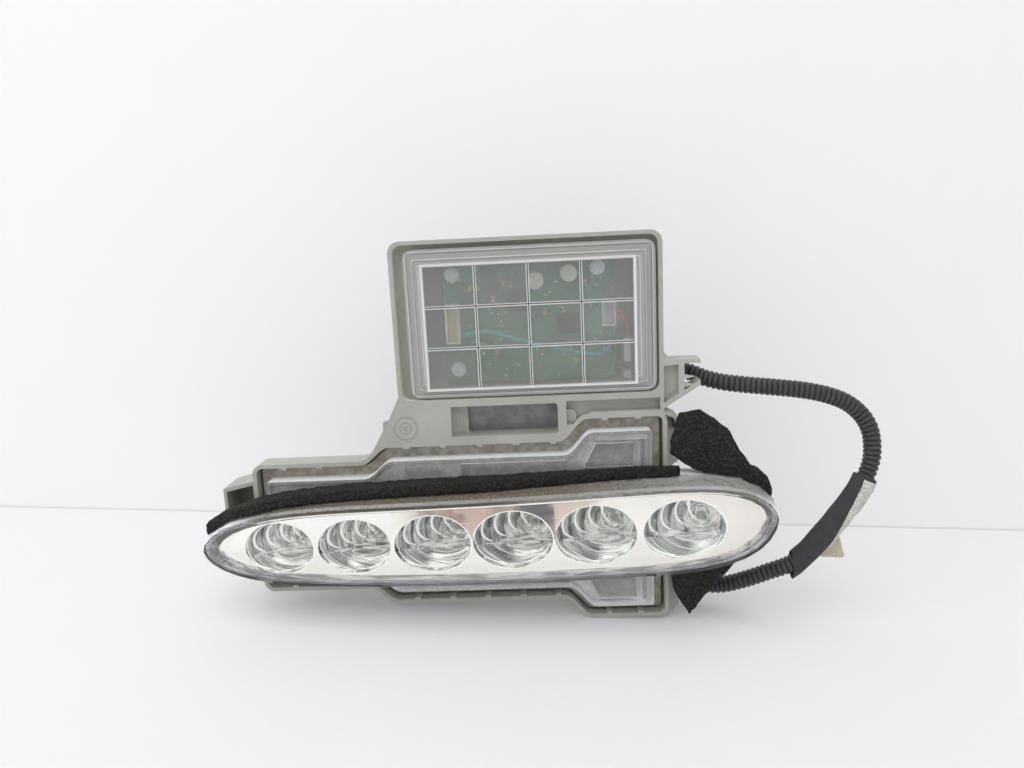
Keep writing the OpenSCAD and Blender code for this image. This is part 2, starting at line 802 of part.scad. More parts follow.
flange_back = -0.1;
flange_front = flange_back - flange_t;

// A clear step on the flange, as high as given.
module flange_step(high) {
  slab(flange_front - high, flange_front + eps)
    children();
}

// The stepped flange, its lip in the channel, and the clear steps, bosses and panes on it.
module lens_flange() {
  slab(flange_front, flange_back)
    difference() {
      rim_shape(channel_w);
      polygon(oval_outline(0));
    }
  slab(flange_back - 1, channel_depth / 2)
    difference() {
      rim_shape(channel_w);
      rim_shape(channel_w + lens_wall);
      polygon(oval_outline(0));
    }
  flange_step(1.2)
    difference() {
      rim_shape(channel_w);
      rim_shape(channel_w + 1.2);
      polygon(oval_outline(0));
    }
  flange_step(1.6)
    long_boss(-24, -14, 29.6, 3.8);
  for (side = [-1, 1]) {
    flange_step(1.6)
      polygon([[0, side * 25.2], [51, side * 25.2], [51, side * 31.8], [0, side * 31.8]]);
    flange_step(1.8)
      polygon([[60, side * 28], [83.6, side * 28], [84.6, side * 39.6], [66, side * 39.6]]);
    flange_step(1)
      corner_frame(side, 0);
    flange_step(1.9)
      corner_frame(side, 1);
  }
}

// A flat boss with round ends.
module long_boss(x0, x1, z, r) {
  polygon(concat(corner(x1, z, r, -90, 90, 10), corner(x0, z, r, 90, 270, 10)));
}

// Nested right-angled steps at the flange's right corners.
module corner_frame(side, k) {
  polygon([[86.4 + k, side * 24.6], [91.6 - k * 2, side * 24.6],
    [91.6 - k * 2, side * (43.4 - k * 2)], [66, side * (43.4 - k * 2)],
    [66, side * (40.8 + k * 0.4)], [86.4 + k, side * (40.8 + k * 0.4)]]);
}

module lens_sealant() {
  color([0.42, 0.39, 0.33])
    seat()
      slab(channel_depth / 2, channel_depth)
        difference() {
          rim_shape(rim_wall + nub_d + fit);
          rim_shape(channel_w + lens_wall);
        }
}

// Reflector

module bezel_block(d, shift) {
  loft([
    roof_ring(bezel_inset + d, 0, bezel_back_y + shift, 0, 0),
    roof_ring(bezel_inset + d, 1, bezel_back_y + shift, 0, 0),
    roof_ring(bezel_inset + d, 1, bezel_y + shift, lens_bow, bezel_roof),
    roof_ring(bezel_inset + d, 0, bezel_y + shift, lens_bow, bezel_roof)]);
}

module cup_prism(i, extra) {
  polygon(ellipse_points(cup_x[i], cup_z[i], cup_w(i) + extra, cup_h[i] + extra, cup_sides));
}

// Depth of the bowl below the bezel's ridge, at distance r from its own middle.
function bowl_depth(r, deep, reach) = deep * (1 - pow(r / reach, 2));

// One sawtooth ring profile: each ring starts below the mean curve and ends above it.
function ring_profile(radii, deep, reach, front) = [for (k = [1:len(radii) - 1])
  each [[radii[k - 1], -(front + bowl_depth(radii[k - 1], deep, reach) + cup_step / 2)],
    [radii[k], -(front + bowl_depth(radii[k], deep, reach) - cup_step / 2)]]];

module ring_cut(x, z, radii, deep, reach, front) {
  last = radii[len(radii) - 1];
  translate([x, 0, z])
    rotate([90, 0, 0])
      rotate_extrude()
        polygon(concat([[0, -(front - 8)]], ring_profile(radii, deep, reach, front),
          [[last, -(front - 8)]]));
}

// A cup's upper part is the deep bowl round the emitter, its lower part the shallow one.
module cup_cut(i) {
  w = cup_w(i);
  front = bezel_front(cup_x[i]);
  deep = cup_bottom_y - front - cup_step / 2;
  z = cup_z[i] + divide * cup_h[i];
  intersection() {
    slab(front - 6, 0)
      intersection() {
        cup_prism(i, 0);
        translate([cup_x[i] - w, z])
          square([2 * w, w]);
      }
    ring_cut(bowl_x(i), bowl_z(i), w * bowl_radii, deep, 0.92 * w, front);
  }
  intersection() {
    slab(front - 6, 0)
      intersection() {
        cup_prism(i, 0);
        translate([cup_x[i] - w, z - w + eps])
          square([2 * w, w]);
      }
    ring_cut(cup_x[i] + smile_shift_x * w, cup_z[i] + smile_shift_z * cup_h[i],
      w * smile_radii, deep * lower_share, 1.1 * w, front);
  }
  bar(bowl_x(i), bowl_z(i), led_hole_r, cup_bottom_y - 4, over);
}

module reflector_bezel() {
  color([0.92, 0.92, 0.93])
    seat()
      difference() {
        bezel_block(0, 0);
        difference() {
          bezel_block(bezel_wall, bezel_wall);
          for (i = [0:cup_n - 1])
            slab(-lens_proud, over)
              cup_prism(i, 2 * cup_rim);
        }
        for (i = [0:cup_n - 1])
          cup_cut(i);
      }
}

// Electronics of the lamp

module led_board() {
  color([0.86, 0.87, 0.84])
    seat()
      slab(board_front_y, 0)
        polygon(oval_outline(bezel_inset + 1, bezel_move));
}

led_size = 3.2;
led_t = 0.5;
led_dome_r = 1.25;

module led(i) {
  color([0.95, 0.93, 0.7])
    seat()
      translate([bowl_x(i), board_front_y - led_t, bowl_z(i)]) {
        translate([-led_size / 2, 0, -led_size / 2])
          cube([led_size, led_t, led_size]);
        intersection() {
          sphere(r = led_dome_r);
          translate([-2, -2, -2])
            cube([4, 2 + eps, 4]);
        }
      }
}

sink_x0 = -84;
sink_x1 = 80;
sink_z = 17;
sink_plate = 3;
sink_fin_depth = 22;
sink_fin_pitch = 12;
sink_fin_t = 1.6;

module heat_sink() {
  color([0.7, 0.71, 0.73])
    seat() {
      translate([sink_x0, 0, -sink_z])
        cube([sink_x1 - sink_x0, sink_plate, 2 * sink_z]);
      for (x = [sink_x0 + 4:sink_fin_pitch:sink_x1 - 4])
        translate([x, sink_plate - eps, -sink_z])
          cube([sink_fin_t, sink_fin_depth, 2 * sink_z]);
      for (x = [sink_x0 + 10, sink_x1 - 12])
        bar(x, 0, 3.5, sink_plate - eps, tub_depth - tub_wall);
    }
}

// Driver box contents

module box_cover() {
  color(clear)
    seat()
      difference() {
        union() {
          slab(cover_front + 2.2, cover_seat)
            polygon(round_rect(cover_x0, cover_x1, cover_z0, cover_z1, cover_corner));
          slab(cover_front + 1.1, cover_seat)
            polygon(round_rect(cover_x0 + cover_step, cover_x1 - cover_step,
              cover_z0 + cover_step, cover_z1 - cover_step, cover_corner - 1));
          slab(cover_front, cover_seat)
            polygon(round_rect(cover_x0 + 2 * cover_step, cover_x1 - 2 * cover_step,
              cover_z0 + 1.5 * cover_step, cover_z1 - 2 * cover_step, cover_corner - 1));
          slab(cover_front - window_rise, cover_seat)
            polygon(round_rect(window_x0 - window_edge, window_x1 + window_edge,
              window_z0 - 0.6, window_z1 + window_edge, 1.5));
        }
        slab(cover_front + 2, cover_seat + over)
          polygon(round_rect(cover_x0 + 2 * cover_step + 1.6, cover_x1 - 2 * cover_step - 1.6,
            cover_z0 + 1.5 * cover_step + 1.6, cover_z1 - 2 * cover_step - 1.6,
            cover_corner - 2));
        window_grooves();
      }
}

// A groove of the window's lattice along the line between two corners.
module groove(x0, x1, z0, z1) {
  translate([x0 - groove_w / 2, cover_front - window_rise - over, z0 - groove_w / 2])
    cube([x1 - x0 + groove_w, over + groove_depth, z1 - z0 + groove_w]);
}

module window_grooves() {
  dx = (window_x1 - window_x0) / cells_x;
  dz = (window_z1 - window_z0) / cells_z;
  for (i = [0:cells_x])
    groove(window_x0 + i * dx, window_x0 + i * dx, window_z0, window_z1);
  for (k = [0:cells_z])
    groove(window_x0, window_x1, window_z0 + k * dz, window_z0 + k * dz);
}

module driver_board() {
  color([0.12, 0.42, 0.27])
    in_box()
      difference() {
        slab(board_y, board_y + board_t)
          polygon(round_rect(board_x0, board_x1, board_z0, board_z1, 2));
        for (s = screw_spots)
          bar(s[0], s[1], screw_r + 0.2, board_y - over, board_y + board_t + over);
      }
}

board_screw_l = 7;

module board_screws() {
  color([0.8, 0.82, 0.84])
    in_box()
      for (s = screw_spots) {
        bar(s[0], s[1], screw_r - 0.05, board_y - eps, board_y + board_t + board_screw_l);
        bar(s[0], s[1], screw_head_r, board_y - 0.6, board_y);
        difference() {
          bar(s[0], s[1], 2.6, board_y - 2.4, board_y - 0.6 + eps);
          bar(s[0], s[1], 0.9, board_y - 2.4 - over, board_y - 1.6);
        }
      }
}

// A pin header housing: a shell with a row of contacts.
module header(x, z, w, h, depth, ways) {
  pitch = 2.5;
  difference() {
    translate([x - w / 2, board_y - depth, z - h / 2])
      cube([w, depth, h]);
    translate([x - w / 2 + 1, board_y - depth - over, z - h / 2 + 1])
      cube([w - 2, over + depth * 0.6, h - 2]);
  }
  for (k = [0:ways - 1])
    translate([x - 0.4, board_y - depth + 1, z + (k - (ways - 1) / 2) * pitch - 0.4])
      cube([0.8, depth - 1, 0.8]);
}

module input_connector() {
  color([0.93, 0.92, 0.86])
    in_box()
      header(-0.6, 37.8, 7, 19, 7, 6);
}

module output_connector() {
  color([0.93, 0.93, 0.9])
    in_box()
      header(74.6, 40, 6.4, 12, 7, 4);
}

cap_spots = [[40, 57], [56, 60]];

module capacitors() {
  color([0.86, 0.85, 0.82])
    in_box()
      for (c = cap_spots)
        difference() {
          bar(c[0], c[1], 4, board_y - 8.4, board_y);
          translate([c[0] - 3, board_y - 8.4 - over, c[1] - 0.3])
            cube([6, over + 0.4, 0.6]);
        }
}

module power_inductor() {
  color([0.2, 0.2, 0.2])
    in_box()
      translate([0, board_y, 0])
        rotate([90, 0, 0])
          difference() {
            linear_extrude(4.5)
              polygon(round_rect(26, 36, 42.6, 52.6, 2));
            translate([31, 47.6, 3.7])
              cylinder(r = 3, h = 1);
          }
}

module driver_chip() {
  color([0.13, 0.13, 0.14])
    in_box() {
      translate([50, board_y - 1.4, 30.6])
        cube([10, 1.4, 10]);
      for (k = [0:4], side = [-1, 1])
        translate([55 + side * 5.6 - 0.6, board_y - 0.5, 31.6 + k * 1.9])
          cube([1.2, 0.5, 0.8]);
    }
}

resistor_spots = [[8, 54.6], [12, 54.6], [13.5, 49.6], [19, 48.6], [24, 55.6], [64, 54.6],
  [66, 44.6], [44, 41.6], [20, 22.6], [36, 18.6], [58, 16.6]];

module chip_resistors() {
  color([0.75, 0.7, 0.55])
    in_box()
      for (s = resistor_spots)
        translate([s[0] - 1, board_y - 0.8, s[1] - 1.6])
          cube([2, 0.8, 3.2]);
}

module wire_clips() {
  color([0.9, 0.9, 0.88])
    in_box()
      for (s = [[83.5, 15.6, 12], [83.5, 7.4, 4]])
        translate([s[0] - 1.6, board_y - 2, s[1]])
          cube([3.2, box_depth - tub_wall - board_y + 2, s[2] - 0.4]);
}

// Wires on the driver board: short links that the board's parts hold at both ends.
teal_route = [[3.4, 7.4, 31.8], [8, 6, 33.2], [17, 6, 33.6], [28, 6, 30.2], [41, 6, 26.4],
  [56, 6.4, 22.6], [68, 7.2, 20.4], [74, 8.6, 22.6], [75.2, 9.4, 30.6]];
red_route = [[78.6, 7, 41.6], [80.4, 6.6, 39.6], [82.6, 7.4, 36], [84.4, 9.4, 31.2],
  [84.6, 9.8, 28.6]];
wire_r = 0.8;
wire_sides = 8;

module teal_wire() {
  color([0.25, 0.65, 0.65])
    in_box()
      tube(smooth_line(teal_route, 3), wire_r, wire_sides);
}

module red_wire() {
  color([0.75, 0.15, 0.12])
    in_box()
      tube(smooth_line(red_route, 3), wire_r, wire_sides);
}

// The plate behind the bracket's opening

plate_t = 1.5;
plate_x0 = -14;
plate_x1 = 58;
plate_screw_side = 6;
plate_screws = [[open_x0 - plate_screw_side - 0.4, (open_z0 + open_z1) / 2],
  [open_x1 + plate_screw_side - 0.4, half_h_right - 1.2]];
plate_screw_r = 1.6;
plate_screw_l = 3.5;
plate_hole_l = plate_screw_l + 0.3;
plate_lip = 8;

module back_plate() {
  color([0.56, 0.55, 0.6])
    seat()
      difference() {
        union() {
          slab(frame_depth, frame_depth + plate_t)
            polygon([[plate_x0, open_z0 - 1], [step_b, open_z0 - 1], [step_b + 6, half_h_mid + 7],
              [plate_x1, half_h_right], [plate_x1, box_in_z0 - 0.6],
              [plate_x0, box_in_z0 - 0.6]]);
          translate([plate_x0, frame_depth + plate_t - eps, box_in_z0 - 0.6 - plate_t])
            cube([plate_x1 - plate_x0, plate_lip, plate_t]);
        }
        for (p = plate_screws)
          bar(p[0], p[1], plate_screw_r + 0.1, frame_depth - over, frame_depth + plate_t + over);
      }
}

module plate_screws() {
  color([0.75, 0.76, 0.78])
    seat()
      for (p = plate_screws) {
        bar(p[0], p[1], plate_screw_r, frame_depth - plate_screw_l, frame_depth + plate_t + eps);
        bar(p[0], p[1], 3, frame_depth + plate_t, frame_depth + plate_t + 1.8);
      }
}

// Conduit, grommets and wrap

module grommet(x, y, z, r, length, hole_r) {
  difference() {
    union() {
      bar_x(y, z, r + 2, x, x + 2);
      bar_x(y, z, r, x - 3, x);
      bar_x(y, z, hole_r + 1.4, x + 2 - eps, x + length);
    }
    bar_x(y, z, hole_r, x - 3 - over, x + length + over);
  }
}

module box_grommet() {
  color([0.12, 0.12, 0.13])
    seat()
      grommet(box_in_x1 + fit, grommet_y, grommet_z, grommet_hole_r - 0.1, grommet_l, 3);
}

module lamp_grommet() {
  color([0.12, 0.12, 0.13])
    seat()
      grommet(cheek_x, lamp_grommet_y, lamp_grommet_z, lamp_grommet_r - 0.1, lamp_grommet_l,
        2.6);
}

module conduit() {
  color([0.17, 0.17, 0.19])
    seat()
      tube(line, conduit_d / 2, 12);
}

tape_w = 5.8;
tape_deep = 5.1;

module tape_wrap() {
  part = [for (i = [tape_from:tape_to]) line[i]];
  color([0.13, 0.13, 0.15])
    seat()
      sleeve(part, tape_w, tape_deep, conduit_d / 2 + 0.15, 12);
}

// A thin skin that lies on the tape, between two angles round the line.
module skin(p, w, t, thick, a0, a1, n) {
  side = n + 1;
  ring = 2 * side;
  points = [for (i = [0:len(p) - 1], layer = [0, 1], k = [0:n])
    let (d = tangent(p, i), a = unit(cross([0, 1, 0], d)), b = cross(d, a),
      g = a0 + (a1 - a0) * k / n, grow = 0.05 + layer * thick)
        p[i] + a * (w + grow) * cos(g) + b * (t + grow) * sin(g)];
  last = (len(p) - 1) * ring;
  along = [for (i = [0:len(p) - 2], k = [0:n - 1])
    let (q = i * ring + k, r = q + ring, u = q + side, v = r + side)
      each [[q, r, r + 1], [q, r + 1, q + 1], [u, v + 1, v], [u, u + 1, v + 1]]];
  edges = [for (i = [0:len(p) - 2]) let (q = i * ring, r = q + ring)
    each [[q, q + side, r + side], [q, r + side, r],
      [q + n, r + n + side, q + n + side], [q + n, r + n, r + n + side]]];
  caps = [for (k = [0:n - 1]) each [[k, k + 1, k + side + 1], [k, k + side + 1, k + side],
    [last + k, last + k + side + 1, last + k + 1], [last + k, last + k + side,
    last + k + side + 1]]];
  polyhedron(points = points, faces = concat(along, edges, caps), convexity = 6);
}

module tape_label() {
  part = [for (i = [tape_from + 1:tape_to - 6]) line[i]];
  color([0.92, 0.92, 0.9])
    seat()
      skin(part, tape_w, tape_deep, 0.35, label_a0, label_a1, 4);
}

label_a0 = 180;
label_a1 = 240;

// The tag is stuck to the back of the tape.
module foam_tag() {
  color([0.85, 0.82, 0.72])
    seat()
      slab(tag_y, tag_y + 2.4)
        polygon([[180, -12], [189, -16.5], [192, -28.5], [191.3, -29.9], [179.6, -28.8],
          [174, -22]]);
}

tag_y = 10.9;

// The strip lies on the upper wall of the lens. Its front edge runs back towards the right.
module foam_strip() {
  color([0.1, 0.1, 0.09])
    seat()
      intersection() {
        slab(foam_front, foam_back)
          difference() {
            polygon(oval_outline(-lens_draft - foam_t));
            polygon(oval_outline(-lens_draft * 0.8));
          }
        translate([0, 0, -1])
          linear_extrude(40)
            polygon([[foam_start, -11.4], [foam_start + 26, -16.6], [12, -16], [78, -9],
              [foam_end, -8.4], [foam_end, 0], [foam_start, 0]]);
      }
}

foam_front = -18;
foam_back = -4.8;
foam_start = lens_end_x - lens_l + 1.4;
foam_end = lens_end_x - 45.4;

// The outlines of the two patches, with X counted from the lens's right tip.
upper_patch = [[-50, 33], [-49.2, 39.2], [-47.8, 43.5], [-45.4, 53.2], [-35.7, 54.1],
  [-28.1, 49.3], [-21.6, 43.6], [-16.3, 33.4], [-11.4, 26.3], [-6.9, 24.3],
  [-2.5, 19.9], [-1.1, 15.2], [-0.9, 7.2], [-11.2, 13.7], [-18.3, 16.8],
  [-27.2, 19.4], [-37.8, 24.9]];
lower_patch = [[-49.9, -24], [-48.4, -38], [-40.9, -50.5], [-33.9, -41.5],
  [-27.4, -33.5], [-17.4, -22.5], [-17.4, -8], [-41.4, -12]];

module patch(points, y0) {
  slab(y0, -fit)
    difference() {
      translate([lens_end_x, 0])
        polygon(points);
      polygon(oval_outline(-lens_draft - fit));
      rim_shape(0);
    }
}

module foam_patch_upper() {
  color([0.1, 0.1, 0.09])
    seat()
      patch(upper_patch, foam_back + 0.2);
}

module foam_patch_lower() {
  color([0.1, 0.1, 0.09])
    seat()
      patch(lower_patch, -foam_t);
}

vent_x = 35;

module vent_cap() {
  color([0.15, 0.15, 0.16])
    seat() {
      difference() {
        bar(vent_x, 0, 6, tub_depth, tub_depth + 5);
        bar(vent_x, 0, 4.4, tub_depth + 4.2, tub_depth + 5 + over);
      }
      for (a = [0, 60, 120])
        translate([vent_x, tub_depth + 4.1, 0])
          rotate([0, a, 0])
            translate([-4.5, 0, -0.4])
              cube([9, 0.7, 0.8]);
    }
}

housing();
outer_lens();
reflector_bezel();
lens_sealant();
led_board();
led(0);  // led_1
led(1);  // led_2
led(2);  // led_3
led(3);  // led_4
led(4);  // led_5
led(5);  // led_6
heat_sink();
box_cover();
driver_board();
board_screws();
input_connector();
output_connector();
capacitors();
power_inductor();
driver_chip();
chip_resistors();
wire_clips();
teal_wire();
red_wire();
back_plate();
plate_screws();
box_grommet();
lamp_grommet();
conduit();
tape_wrap();
tape_label();
foam_tag();
foam_strip();
foam_patch_upper();
foam_patch_lower();
vent_cap();
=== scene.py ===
# %% [markdown]
# # A daytime running light from a car
# A grey moulded housing holds a bowed clear lens of pointed-oval shape. Behind the lens sits a
# mirrored reflector with six stepped cups. A box above it holds the driver board behind a clear
# cover, and a black ribbed conduit carries the wires from the box back into the lamp.
# The hard pieces come from the measured solids and only need their finish. What is soft, ribbed
# or frayed is modelled here, because a solid modeller draws such things badly.

import math

import bpy
from mathutils import Matrix, Vector, noise


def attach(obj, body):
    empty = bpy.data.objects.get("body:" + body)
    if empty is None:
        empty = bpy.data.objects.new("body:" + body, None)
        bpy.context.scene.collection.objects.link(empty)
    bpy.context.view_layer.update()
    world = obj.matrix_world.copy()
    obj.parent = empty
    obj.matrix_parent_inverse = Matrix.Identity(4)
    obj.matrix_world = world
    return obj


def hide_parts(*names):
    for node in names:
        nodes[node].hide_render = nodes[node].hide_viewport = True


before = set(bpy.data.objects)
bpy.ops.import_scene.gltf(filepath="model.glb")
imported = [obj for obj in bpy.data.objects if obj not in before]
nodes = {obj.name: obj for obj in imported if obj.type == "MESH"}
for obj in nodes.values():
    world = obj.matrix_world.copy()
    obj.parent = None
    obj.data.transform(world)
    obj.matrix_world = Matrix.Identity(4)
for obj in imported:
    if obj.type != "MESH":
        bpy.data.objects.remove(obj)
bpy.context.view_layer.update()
print("solids loaded:", len(nodes))

# %% [markdown]
# All sizes below are read off one drawing of the lamp in millimetres, where X runs along the
# lens, Z is up and Y = 0 is the plane on which the lens stands. The solids count Y from the back
# of the housing instead, so one function turns a drawing point into a point of the scene.

# %% Drawing coordinates
LENS_BASE_Y = 48.0
MM = 0.001


def at(x, y, z):
    """A point of the drawing, in millimetres, as a point of the scene in metres."""
    return Vector((x, y - LENS_BASE_Y, z)) * MM


print("the lens stands on scene Y", at(0, 0, 0).y)

# %% [markdown]
# The camera comes first, because every comparison with the photograph depends on it. The lamp is
# seen from in front and a little above, at about forty centimetres with a wide lens, which is why
# the right end looks larger. The view leans slightly, as a picture taken by hand does.

# %% Camera
CAMERA_PLACE = (42.76, -363.48, 140.58)
FOCAL_LENGTH, SENSOR_WIDTH = 27.04, 36.0
TURNED, LOOKS_DOWN, LEANS = 2.5, 11.0, -2.79


def rotated(degrees, axis):
    return Matrix.Rotation(math.radians(degrees), 4, axis)


camera_data = bpy.data.cameras.new("photo_camera")
camera_data.sensor_width = SENSOR_WIDTH
camera_data.lens = FOCAL_LENGTH
camera_data.clip_start = 0.01
camera = bpy.data.objects.new("photo_camera", camera_data)
bpy.context.scene.collection.objects.link(camera)
camera.matrix_world = (
    Matrix.Translation(at(*CAMERA_PLACE))
    @ rotated(TURNED, "Z")
    @ rotated(90 - LOOKS_DOWN, "X")
    @ rotated(LEANS, "Z")
)
bpy.context.scene.camera = camera
print("camera at", [round(c, 4) for c in camera.matrix_world.translation])

# %% [markdown]
# The conduit is a split tube of hard black plastic with a ridge every 2.5 mm. It leaves the box
# through a rubber grommet, swings out in one stiff loop and goes back into the side of the lamp.
# Its line is a smooth curve through listed points. A curve object could draw it as well,
# but the tube, the tape and the cord's path all need the line as points.

# %% The conduit's line
ROUTE = [
    (106.1, 18, 71.6), (115, 17, 69), (122, 15.6, 66.1), (131, 13.3, 63.9), (144, 11.6, 62.2),
    (157, 10.6, 60.7), (169, 10, 59), (180, 9.8, 56.3), (189, 9.6, 52.5), (196.2, 9.4, 46.6),
    (200.9, 9, 39), (202.5, 8.6, 30.6), (201.9, 8, 21.6), (197.6, 7, 11), (190.6, 6, 1),
    (184.2, 5.6, -7.5), (177.9, 5.6, -15.8), (171.2, 5.6, -23.4), (163.3, 6.2, -29.8),
    (153.8, 8.4, -34.4), (144.8, 10.6, -38.7), (136.1, 13.4, -42.6), (128.5, 15.8, -44.8),
    (114.6, 18, -44.8),
]
ROUTE_STEPS = 3
CONDUIT_START = (104.1, 18, 71.6)
CONDUIT_END = (112.6, 18, -44.8)
CONDUIT_R = 4.25


def smooth_line(points, steps):
    """A Catmull-Rom curve through points, with steps parts between each two."""
    points = [Vector(p) for p in points]
    last = len(points) - 1
    line = []
    for i in range(last):
        a, b, c, d = (points[max(0, min(last, i + k))] for k in (-1, 0, 1, 2))
        for k in range(steps):
            t = k / steps
            line.append(
                0.5
                * (
                    2 * b
                    + (c - a) * t
                    + (2 * a - 5 * b + 4 * c - d) * t * t
                    + (3 * b - a - 3 * c + d) * t * t * t
                )
            )
    return line + [points[last]]


def lengths_along(line):
    """The distance from the line's start to each of its points."""
    total = [0.0]
    for a, b in zip(line, line[1:]):
        total.append(total[-1] + (b - a).length)
    return total


def point_along(line, total, s):
    """The point at distance s along a line, and the direction there."""
    s = max(0.0, min(s, total[-1]))
    i = 0
    while i < len(total) - 2 and total[i + 1] < s:
        i += 1
    t = (s - total[i]) / max(total[i + 1] - total[i], 1e-9)
    before, after = line[max(i - 1, 0)], line[min(i + 2, len(line) - 1)]
    start_way = (line[i + 1] - before).normalized()
    end_way = (after - line[i]).normalized()
    return line[i].lerp(line[i + 1], t), start_way.lerp(end_way, t).normalized()


conduit_line = [Vector(CONDUIT_START)] + smooth_line(ROUTE, ROUTE_STEPS) + [Vector(CONDUIT_END)]
conduit_total = lengths_along(conduit_line)
print("conduit length in mm:", round(conduit_total[-1], 1))

# %% [markdown]
# A tube is a row of rings that stand square to its line, joined by faces with four corners and
# closed at both ends. A curve with a round bevel gives a plain tube, but not one whose radius
# changes at every ridge. So these helpers set each ring themselves.

# %% A tube along a line
def new_piece(name, vertices, faces):
    """A mesh object from points in drawing millimetres. Faces come clockwise as seen from
    outside, and flip_normals turns them all outwards."""
    mesh = bpy.data.meshes.new(name)
    mesh.from_pydata([at(*v) for v in vertices], [], faces)
    mesh.flip_normals()
    mesh.validate()
    piece = bpy.data.objects.new(name, mesh)
    bpy.context.scene.collection.objects.link(piece)
    return piece


def square_to(way):
    """Two directions square to a way: one across the picture, one along its depth."""
    across = Vector((0, 1, 0)).cross(way).normalized()
    return across, way.cross(across)


def swept(line, total, stations, sides, section):
    """Rings of points round a line. section(s, angle) gives the distances across and deep."""
    points = []
    for s in stations:
        centre, way = point_along(line, total, s)
        across, deep = square_to(way)
        for k in range(sides):
            u, v = section(s, 2 * math.pi * k / sides)
            points.append(centre + across * u + deep * v)
    return points


def tube_faces(rings, sides):
    """Faces between the rings, and one face that closes each end."""
    faces = []
    for i in range(rings - 1):
        for k in range(sides):
            a, b = i * sides + k, i * sides + (k + 1) % sides
            faces.append((a, a + sides, b + sides, b))
    faces.append(tuple(range(sides)))
    faces.append(tuple(range(rings * sides - 1, (rings - 1) * sides - 1, -1)))
    return faces


def select_only(piece):
    """Selects one piece, nothing else, and makes it the active one."""
    bpy.ops.object.select_all(action="DESELECT")
    piece.select_set(True)
    bpy.context.view_layer.objects.active = piece


def smooth_shaded(piece, degrees):
    """Shades one piece smooth, except over edges sharper than so many degrees."""
    select_only(piece)
    bpy.ops.object.shade_smooth_by_angle(angle=math.radians(degrees))


print("points of the conduit's line:", len(conduit_line))

# %% [markdown]
# The ridges are real shape: a ring of points is set at each change of radius, which a bump in the
# material could not show in outline. Each point also remembers how deep it lies, as an attribute
# that the finish reads later.

# %% The ribbed conduit
RIDGE_PITCH = 2.54
RIDGE_DEPTH = 0.62
RIDGE_SHAPE = ((0.0, 1.0), (0.14, 1.0), (0.28, 0.14), (0.46, 0.0), (0.7, 0.0), (0.86, 0.14))
CONDUIT_SIDES = 24

ridge_count = round(conduit_total[-1] / RIDGE_PITCH)
pitch = conduit_total[-1] / ridge_count
conduit_rings = [
    ((i + share) * pitch, sunk) for i in range(ridge_count) for share, sunk in RIDGE_SHAPE
]
conduit_rings.append((conduit_total[-1], 1.0))
conduit_depth = dict(conduit_rings)


def conduit_section(s, angle):
    r = CONDUIT_R - RIDGE_DEPTH * conduit_depth[s]
    return r * math.cos(angle), r * math.sin(angle)


conduit = new_piece(
    "ribbed_conduit",
    swept(conduit_line, conduit_total, list(conduit_depth), CONDUIT_SIDES, conduit_section),
    tube_faces(len(conduit_rings), CONDUIT_SIDES),
)
smooth_shaded(conduit, 50)
groove = conduit.data.attributes.new("groove", "FLOAT", "POINT")
for i, point in enumerate(groove.data):
    point.value = conduit_rings[i // CONDUIT_SIDES][1]
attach(conduit, "root")
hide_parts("conduit")
print("conduit ridges:", ridge_count, "faces:", len(conduit.data.polygons))

# %% [markdown]
# Cloth tape is wrapped round the conduit where it bends back. It is wider than the tube, because
# its two edges are pressed together into a flat seam, and its lower end is cut slantwise and
# stands open. One function gives any point on it from a distance along the line and an angle
# round it: angle 0 is the upper left edge, a quarter turn is the back. The tape is stiffer than
# the tube, so near its lower end it goes straight on where the tube curves away.

# %% The tape's shape
TAPE_FROM, TAPE_TO = 39, 55
TAPE_SIDES, TAPE_STEP = 32, 0.8
TAPE_W, TAPE_DEEP, TAPE_THICK = 5.85, 5.0, 0.45
SLANT, SLANT_FROM = 4.4, 0.55
STRAIGHT, STRAIGHT_SHARE = 12.0, 0.6
PINCH, FOLD_W, FOLD_DEEP, CREASE = 0.14, 0.3, 0.25, 0.1

tape_start = conduit_total[TAPE_FROM]
tape_end = conduit_total[TAPE_TO]
tape_length = tape_end - tape_start
tape_rings = max(2, round(tape_length / TAPE_STEP))
tape_stations = [tape_start + tape_length * i / tape_rings for i in range(tape_rings + 1)]


def eased(t):
    t = max(0.0, min(1.0, t))
    return t * t * (3 - 2 * t)


def tape_point(s, angle, lift=0.0):
    """A point of the tape's outside, or lift millimetres off it."""
    t = (s - tape_start) / tape_length
    s -= SLANT * math.cos(angle) * eased((t - SLANT_FROM) / (1 - SLANT_FROM))
    centre, way = point_along(conduit_line, conduit_total, s)
    over = max(0.0, s - (tape_end - STRAIGHT))
    if over > 0:
        held, held_way = point_along(conduit_line, conduit_total, tape_end - STRAIGHT)
        share = STRAIGHT_SHARE * eased(over / STRAIGHT)
        centre = centre.lerp(held + held_way * over, share)
        way = way.lerp(held_way, share).normalized()
    across, deep = square_to(way)
    cos, sin = math.cos(angle), math.sin(angle)
    fold = noise.noise(Vector((s * 0.12, cos * 1.3, sin * 1.3)))
    crease = noise.noise(Vector((s * 0.45, cos * 4, 7 + sin * 4)))
    pinched = 1 - PINCH * (1 + cos) * sin * sin
    u = (TAPE_W + FOLD_W * fold) * cos
    v = (TAPE_DEEP * pinched + FOLD_DEEP * fold + CREASE * crease) * sin
    out = Vector((u, v))
    out += out.normalized() * lift
    return centre + across * out.x + deep * out.y


print("tape length in mm:", round(tape_length, 1))

# %% [markdown]
# Real tape has a thickness that shows at its open end. So its skin is a tube without ends made
# twice, once outside and once a little inside with its faces turned round, and a rim of faces
# joins the two at each end. Solidify would do the same, but not with so even a seam.

